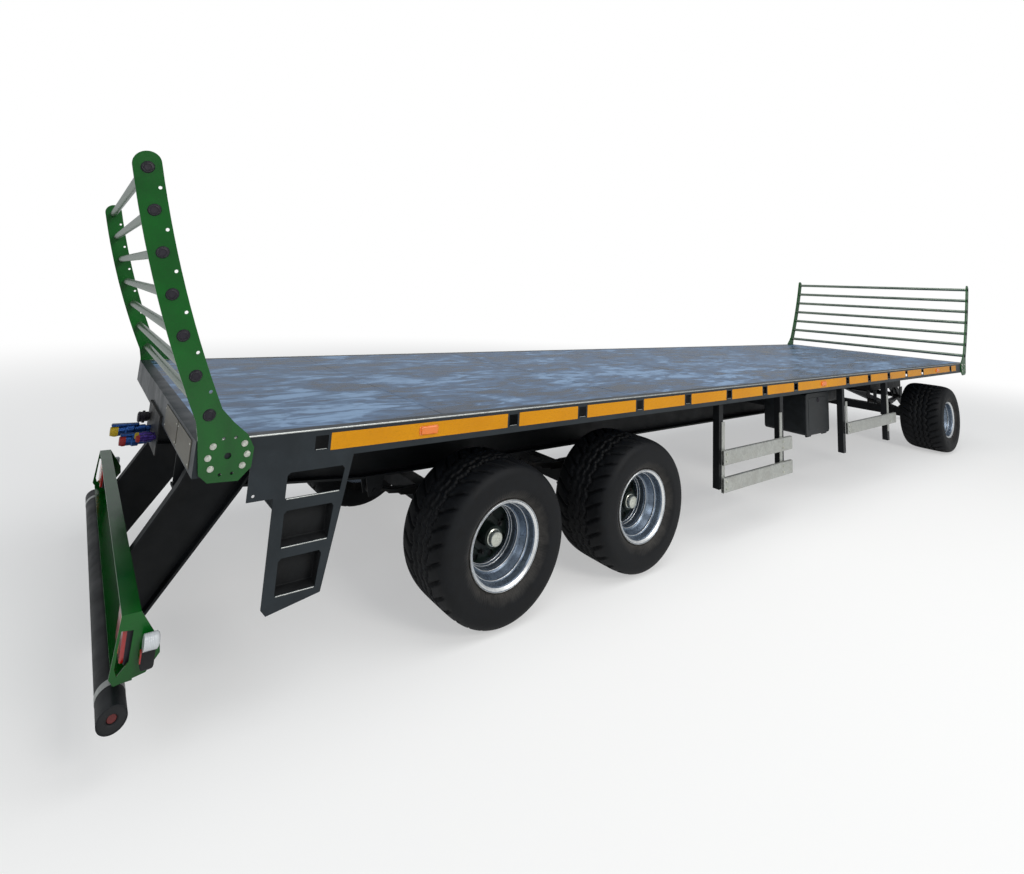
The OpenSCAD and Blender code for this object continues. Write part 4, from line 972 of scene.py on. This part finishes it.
def spring_bolts():
    """Two U-bolts over each spring on its axle, with a clamp plate on top and one below."""
    for axle, body in AXLES:
        low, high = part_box("axle_" + axle)
        x, top = (low.x + high.x) / 2, (TYRE_R + 67) * MM
        parts = []
        for dx in (-47, 47):
            path_y = SPRING_Y + np.array([-41, -41, -41, 41, 41, 41]) * MM
            path_z = top + np.array([-150, 0, 40, 40, 0, -150]) * MM
            corners = np.stack([np.full(6, x + dx * MM), path_y, path_z], 1)
            parts.append(pipe(soft_path(corners, 18 * MM), 8 * MM, 10))
        for half, under, over in ((42, 32, 50), (52, -140, -126)):
            parts.append(slab((x - 62 * MM, SPRING_Y - half * MM, top + under * MM),
                              (x + 62 * MM, SPRING_Y + half * MM, top + over * MM), 6 * MM, 2 * MM))
        piece("spring_bolts_" + axle, both_sides(parts), SPRING, body)


def soft_path(corners, radius, steps=5):
    """Open path whose inner corners are bridged by the quadratic curves that rounded uses."""
    p = np.asarray(corners, float)
    out = [p[0]]
    for k in range(1, len(p) - 1):
        back, ahead = p[k - 1] - p[k], p[k + 1] - p[k]
        lb, la = np.linalg.norm(back), np.linalg.norm(ahead)
        cut = min(radius, 0.45 * lb, 0.45 * la)
        start, end = p[k] + back / lb * cut, p[k] + ahead / la * cut
        t = np.linspace(0, 1, steps)[:, None]
        out += list((1 - t) ** 2 * start + 2 * t * (1 - t) * p[k] + t ** 2 * end)
    out.append(p[-1])
    return np.array(out)


def brake_chambers():
    """Diaphragm brake chambers beside each axle beam, with the cross shaft to the drum."""
    for axle, body in AXLES:
        low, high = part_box("axle_" + axle)
        x, y, z = (low.x + high.x) / 2, 640 * MM, TYRE_R * MM
        pot = np.array([[0, 0], [50, 0], [70, 12], [72, 34], [80, 38], [80, 46], [72, 50], [70, 72],
                        [48, 88], [0, 88]]) * MM
        pot[:, 1] += x + 90 * MM
        parts = [lathe(pot, (0, y, z + 10 * MM), "x", 1, 32, False),
                 bar((0, y, z + 10 * MM), 9 * MM, x + 40 * MM, x + 95 * MM, "x", 16),
                 slab((x + 50 * MM, y - 40 * MM, z - 30 * MM), (x + 90 * MM, y + 40 * MM, z + 50 * MM),
                      6 * MM, 2 * MM, "x"),
                 bar((x + 70 * MM, 0, z - 30 * MM), 16 * MM, 600 * MM, 815 * MM, "y", 16)]
        piece("brake_gear_" + axle, both_sides(parts), CHASSIS, body)


def air_tank():
    """Air tank with dished ends, each a quarter ellipse 45 mm deep, two straps on brackets, a
    drain and a port."""
    low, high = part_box("air_tank")
    r, dish = 110 * MM, 45 * MM
    y, z, x0, x1 = low.y + r, high.z - r, low.x, high.x
    t = np.linspace(0, np.pi / 2, 9)
    rear = np.stack([r * np.sin(t), x0 + dish * (1 - np.cos(t))], 1)
    front = np.stack([r * np.sin(t), x1 - dish * (1 - np.cos(t))], 1)[::-1]
    parts = [lathe(np.concatenate([rear, front]), (0, y, z), "x", 1, 64, False)]
    for x in (x0 + 110 * MM, x1 - 130 * MM):
        band = rectangle(r - 1 * MM, x, r + 2 * MM, x + 30 * MM)
        parts.append(lathe(band, (0, y, z), "x", 1, 64))
        parts.append(slab((x - 5 * MM, y + 60 * MM, z - 30 * MM), (x + 35 * MM, -454 * MM, z + 30 * MM)))
    piece("dished_air_tank", parts, CHASSIS, "chassis", ("air_tank",), 30)
    fittings = [bar((x0 + 300 * MM, y, 0), 10 * MM, z - r - 14 * MM, z - r + 4 * MM, "z", 16),
                bar((0, y, z), 14 * MM, x0 - 0.5 * MM, x0 + 12 * MM, "x", 6)]
    piece("air_tank_fittings", fittings, BOLT, "chassis", (), 25)


def air_pipes():
    """Three nylon brake pipes side by side along the inside of the right main beam."""
    runs = []
    z = 1010 * MM
    for y in (-380 * MM, -366 * MM, -352 * MM):
        path = [[at(150), y, z], [at(2200), y, z], [at(5200), y, z + 4 * MM], [at(8400), y, z]]
        runs.append(pipe(soft_path(path, 60 * MM), 6 * MM, 8))
    piece("brake_pipes", runs, NYLON, "chassis")


def turntable_bolts():
    """Bolts under the flange of the turntable's ring, every 15 degrees."""
    low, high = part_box("turntable_lower")
    x, z, circle, count = (low.x + high.x) / 2, low.z + 0.2 * MM, 475 * MM, 24
    bolts = []
    for k in range(count):
        a = 2 * math.pi * (k + 0.5) / count
        bolts += bolt_at((x + circle * math.cos(a), circle * math.sin(a), z), "z", -1)
    piece("turntable_bolts", bolts, BOLT, "dolly", (), 25)


# ---- stage

# How much of the white surroundings gloss shows. Little of it keeps paint and rubber deep.
GLOSS_SKY = 0.3


def shown_white(tree, *rays):
    """Pattern of how much white a ray is shown: all of it for the kinds given, and a part of it
    for gloss."""
    path = add(tree, "LightPath").outputs
    shown = add(tree, "Math", {0: path["Is Glossy Ray"], 1: GLOSS_SKY}, operation="MULTIPLY")
    for kind in rays:
        shown = add(tree, "Math", {0: path[kind], 1: shown}, operation="MAXIMUM")
    return shown


def soft_studio():
    """Pale round floor that fades to white far out, and three large soft lamps over it."""
    floor = bpy.data.objects.new("floor", bpy.data.meshes.new("floor"))
    radius, steps = 220, 96
    angle = np.linspace(0, 2 * np.pi, steps, endpoint=False)
    rim = np.stack([radius * np.cos(angle), radius * np.sin(angle), 0 * angle], 1)
    floor.data.from_pydata(rim.tolist(), [], [list(range(steps))])
    floor.location.z = -0.5 * MM
    bpy.context.scene.collection.objects.link(floor)
    made, tree, surface, place = finish("pale_floor", Base_Color=colour("#f4f4f2"), Roughness=0.9,
                                        Specular_IOR_Level=0.1)
    far = add(tree, "VectorMath", {0: place}, operation="LENGTH").outputs["Value"]
    fade = add(tree, "MapRange", {"Value": far, "From Min": 5.0, "From Max": 16.0, "To Min": 0.45},
               clamp=True, interpolation_type="SMOOTHSTEP")
    whiter = add(tree, "Math", {0: fade, 1: shown_white(tree, "Is Camera Ray")}, operation="MULTIPLY")
    white = add(tree, "Emission", {"Color": (1, 1, 1, 1), "Strength": 1.0})
    mixed = add(tree, "MixShader", {0: whiter, 1: surface, 2: white})
    feed(tree.nodes["Material Output"], {"Surface": mixed})
    floor.data.materials.append(made)
    sky()
    for name, place, aim, size, watts, tint in (
            ("overhead_softbox", (-1, -2.5, 9), (0, 0, 0.6), 9, 560, (1, 1, 1)),
            ("key_softbox", (-2, -12, 7.5), (-1, 0, 0.7), 4, 600, (1, 0.98, 0.95)),
            ("rear_softbox", (-12, -5, 5), (-4, 0, 0.7), 4, 160, (0.92, 0.96, 1))):
        lamp = bpy.data.lights.new(name, "AREA")
        lamp.size, lamp.energy, lamp.color = size, watts, tint
        obj = bpy.data.objects.new(name, lamp)
        obj.matrix_world = Matrix.Translation(place) @ looking(np.subtract(aim, place))
        bpy.context.scene.collection.objects.link(obj)


def looking(direction):
    """Turn that points an object's -Z along a direction, its Y upwards."""
    back = -direction / np.linalg.norm(direction)
    right = np.cross([0, 0, 1], back)
    right /= np.linalg.norm(right)
    up = np.cross(back, right)
    return Matrix(np.stack([right, up, back], 1).tolist()).to_4x4()


def sky():
    """White sky for the eye and through lenses, a part of it for gloss, and a dim cool one for
    diffuse light."""
    world = bpy.data.worlds.new("studio_sky")
    bpy.context.scene.world = world
    world.use_nodes = True
    tree = world.node_tree
    tree.nodes.clear()
    dim = add(tree, "Background", {"Color": colour("#e6edf5"), "Strength": 0.32})
    white = add(tree, "Background", {"Color": (1, 1, 1, 1), "Strength": 1.0})
    shown = shown_white(tree, "Is Camera Ray", "Is Transmission Ray")
    add(tree, "OutputWorld", {"Surface": add(tree, "MixShader", {0: shown, 1: dim, 2: white})})


def camera():
    """Stands 1.8 m up off the right rear corner and looks along and across the trailer."""
    yaw, pitch, roll = np.radians([52.46, 8.71, -3.25])
    ahead = np.array([math.cos(yaw) * math.cos(pitch), math.sin(yaw) * math.cos(pitch),
                      math.sin(pitch)])
    right = np.array([math.sin(yaw), -math.cos(yaw), 0.0])
    down = np.cross(ahead, right)
    turned_right = math.cos(roll) * right + math.sin(roll) * down
    turned_down = -math.sin(roll) * right + math.cos(roll) * down
    lens = bpy.data.cameras.new("camera")
    lens.sensor_width, lens.lens = 36, 19.81
    lens.shift_x, lens.shift_y = -0.0059, -0.2266
    lens.clip_end = 500
    obj = bpy.data.objects.new("camera", lens)
    turn = Matrix(np.stack([turned_right, -turned_down, -ahead], 1).tolist()).to_4x4()
    obj.matrix_world = Matrix.Translation((at(-473), -3.876, 1.833)) @ turn
    bpy.context.scene.collection.objects.link(obj)
    bpy.context.scene.camera = obj


camera()
soft_studio()
dress_cad_nodes()
for wheel_name in WHEELS:
    tyre(wheel_name)
    wheel(wheel_name)
edge_tape()
slot_linings()
marker_lamps()
deck_details()
for at_front in (False, True):
    rack_details(at_front)
ladder_lips()
guard_planks()
toolbox()
underrun_details()
tail_lamps()
outline_lamps()
couplings()
plate_screws()
spring_bolts()
brake_chambers()
air_tank()
air_pipes()
turntable_bolts()

bpy.context.scene.view_settings.view_transform = "Standard"
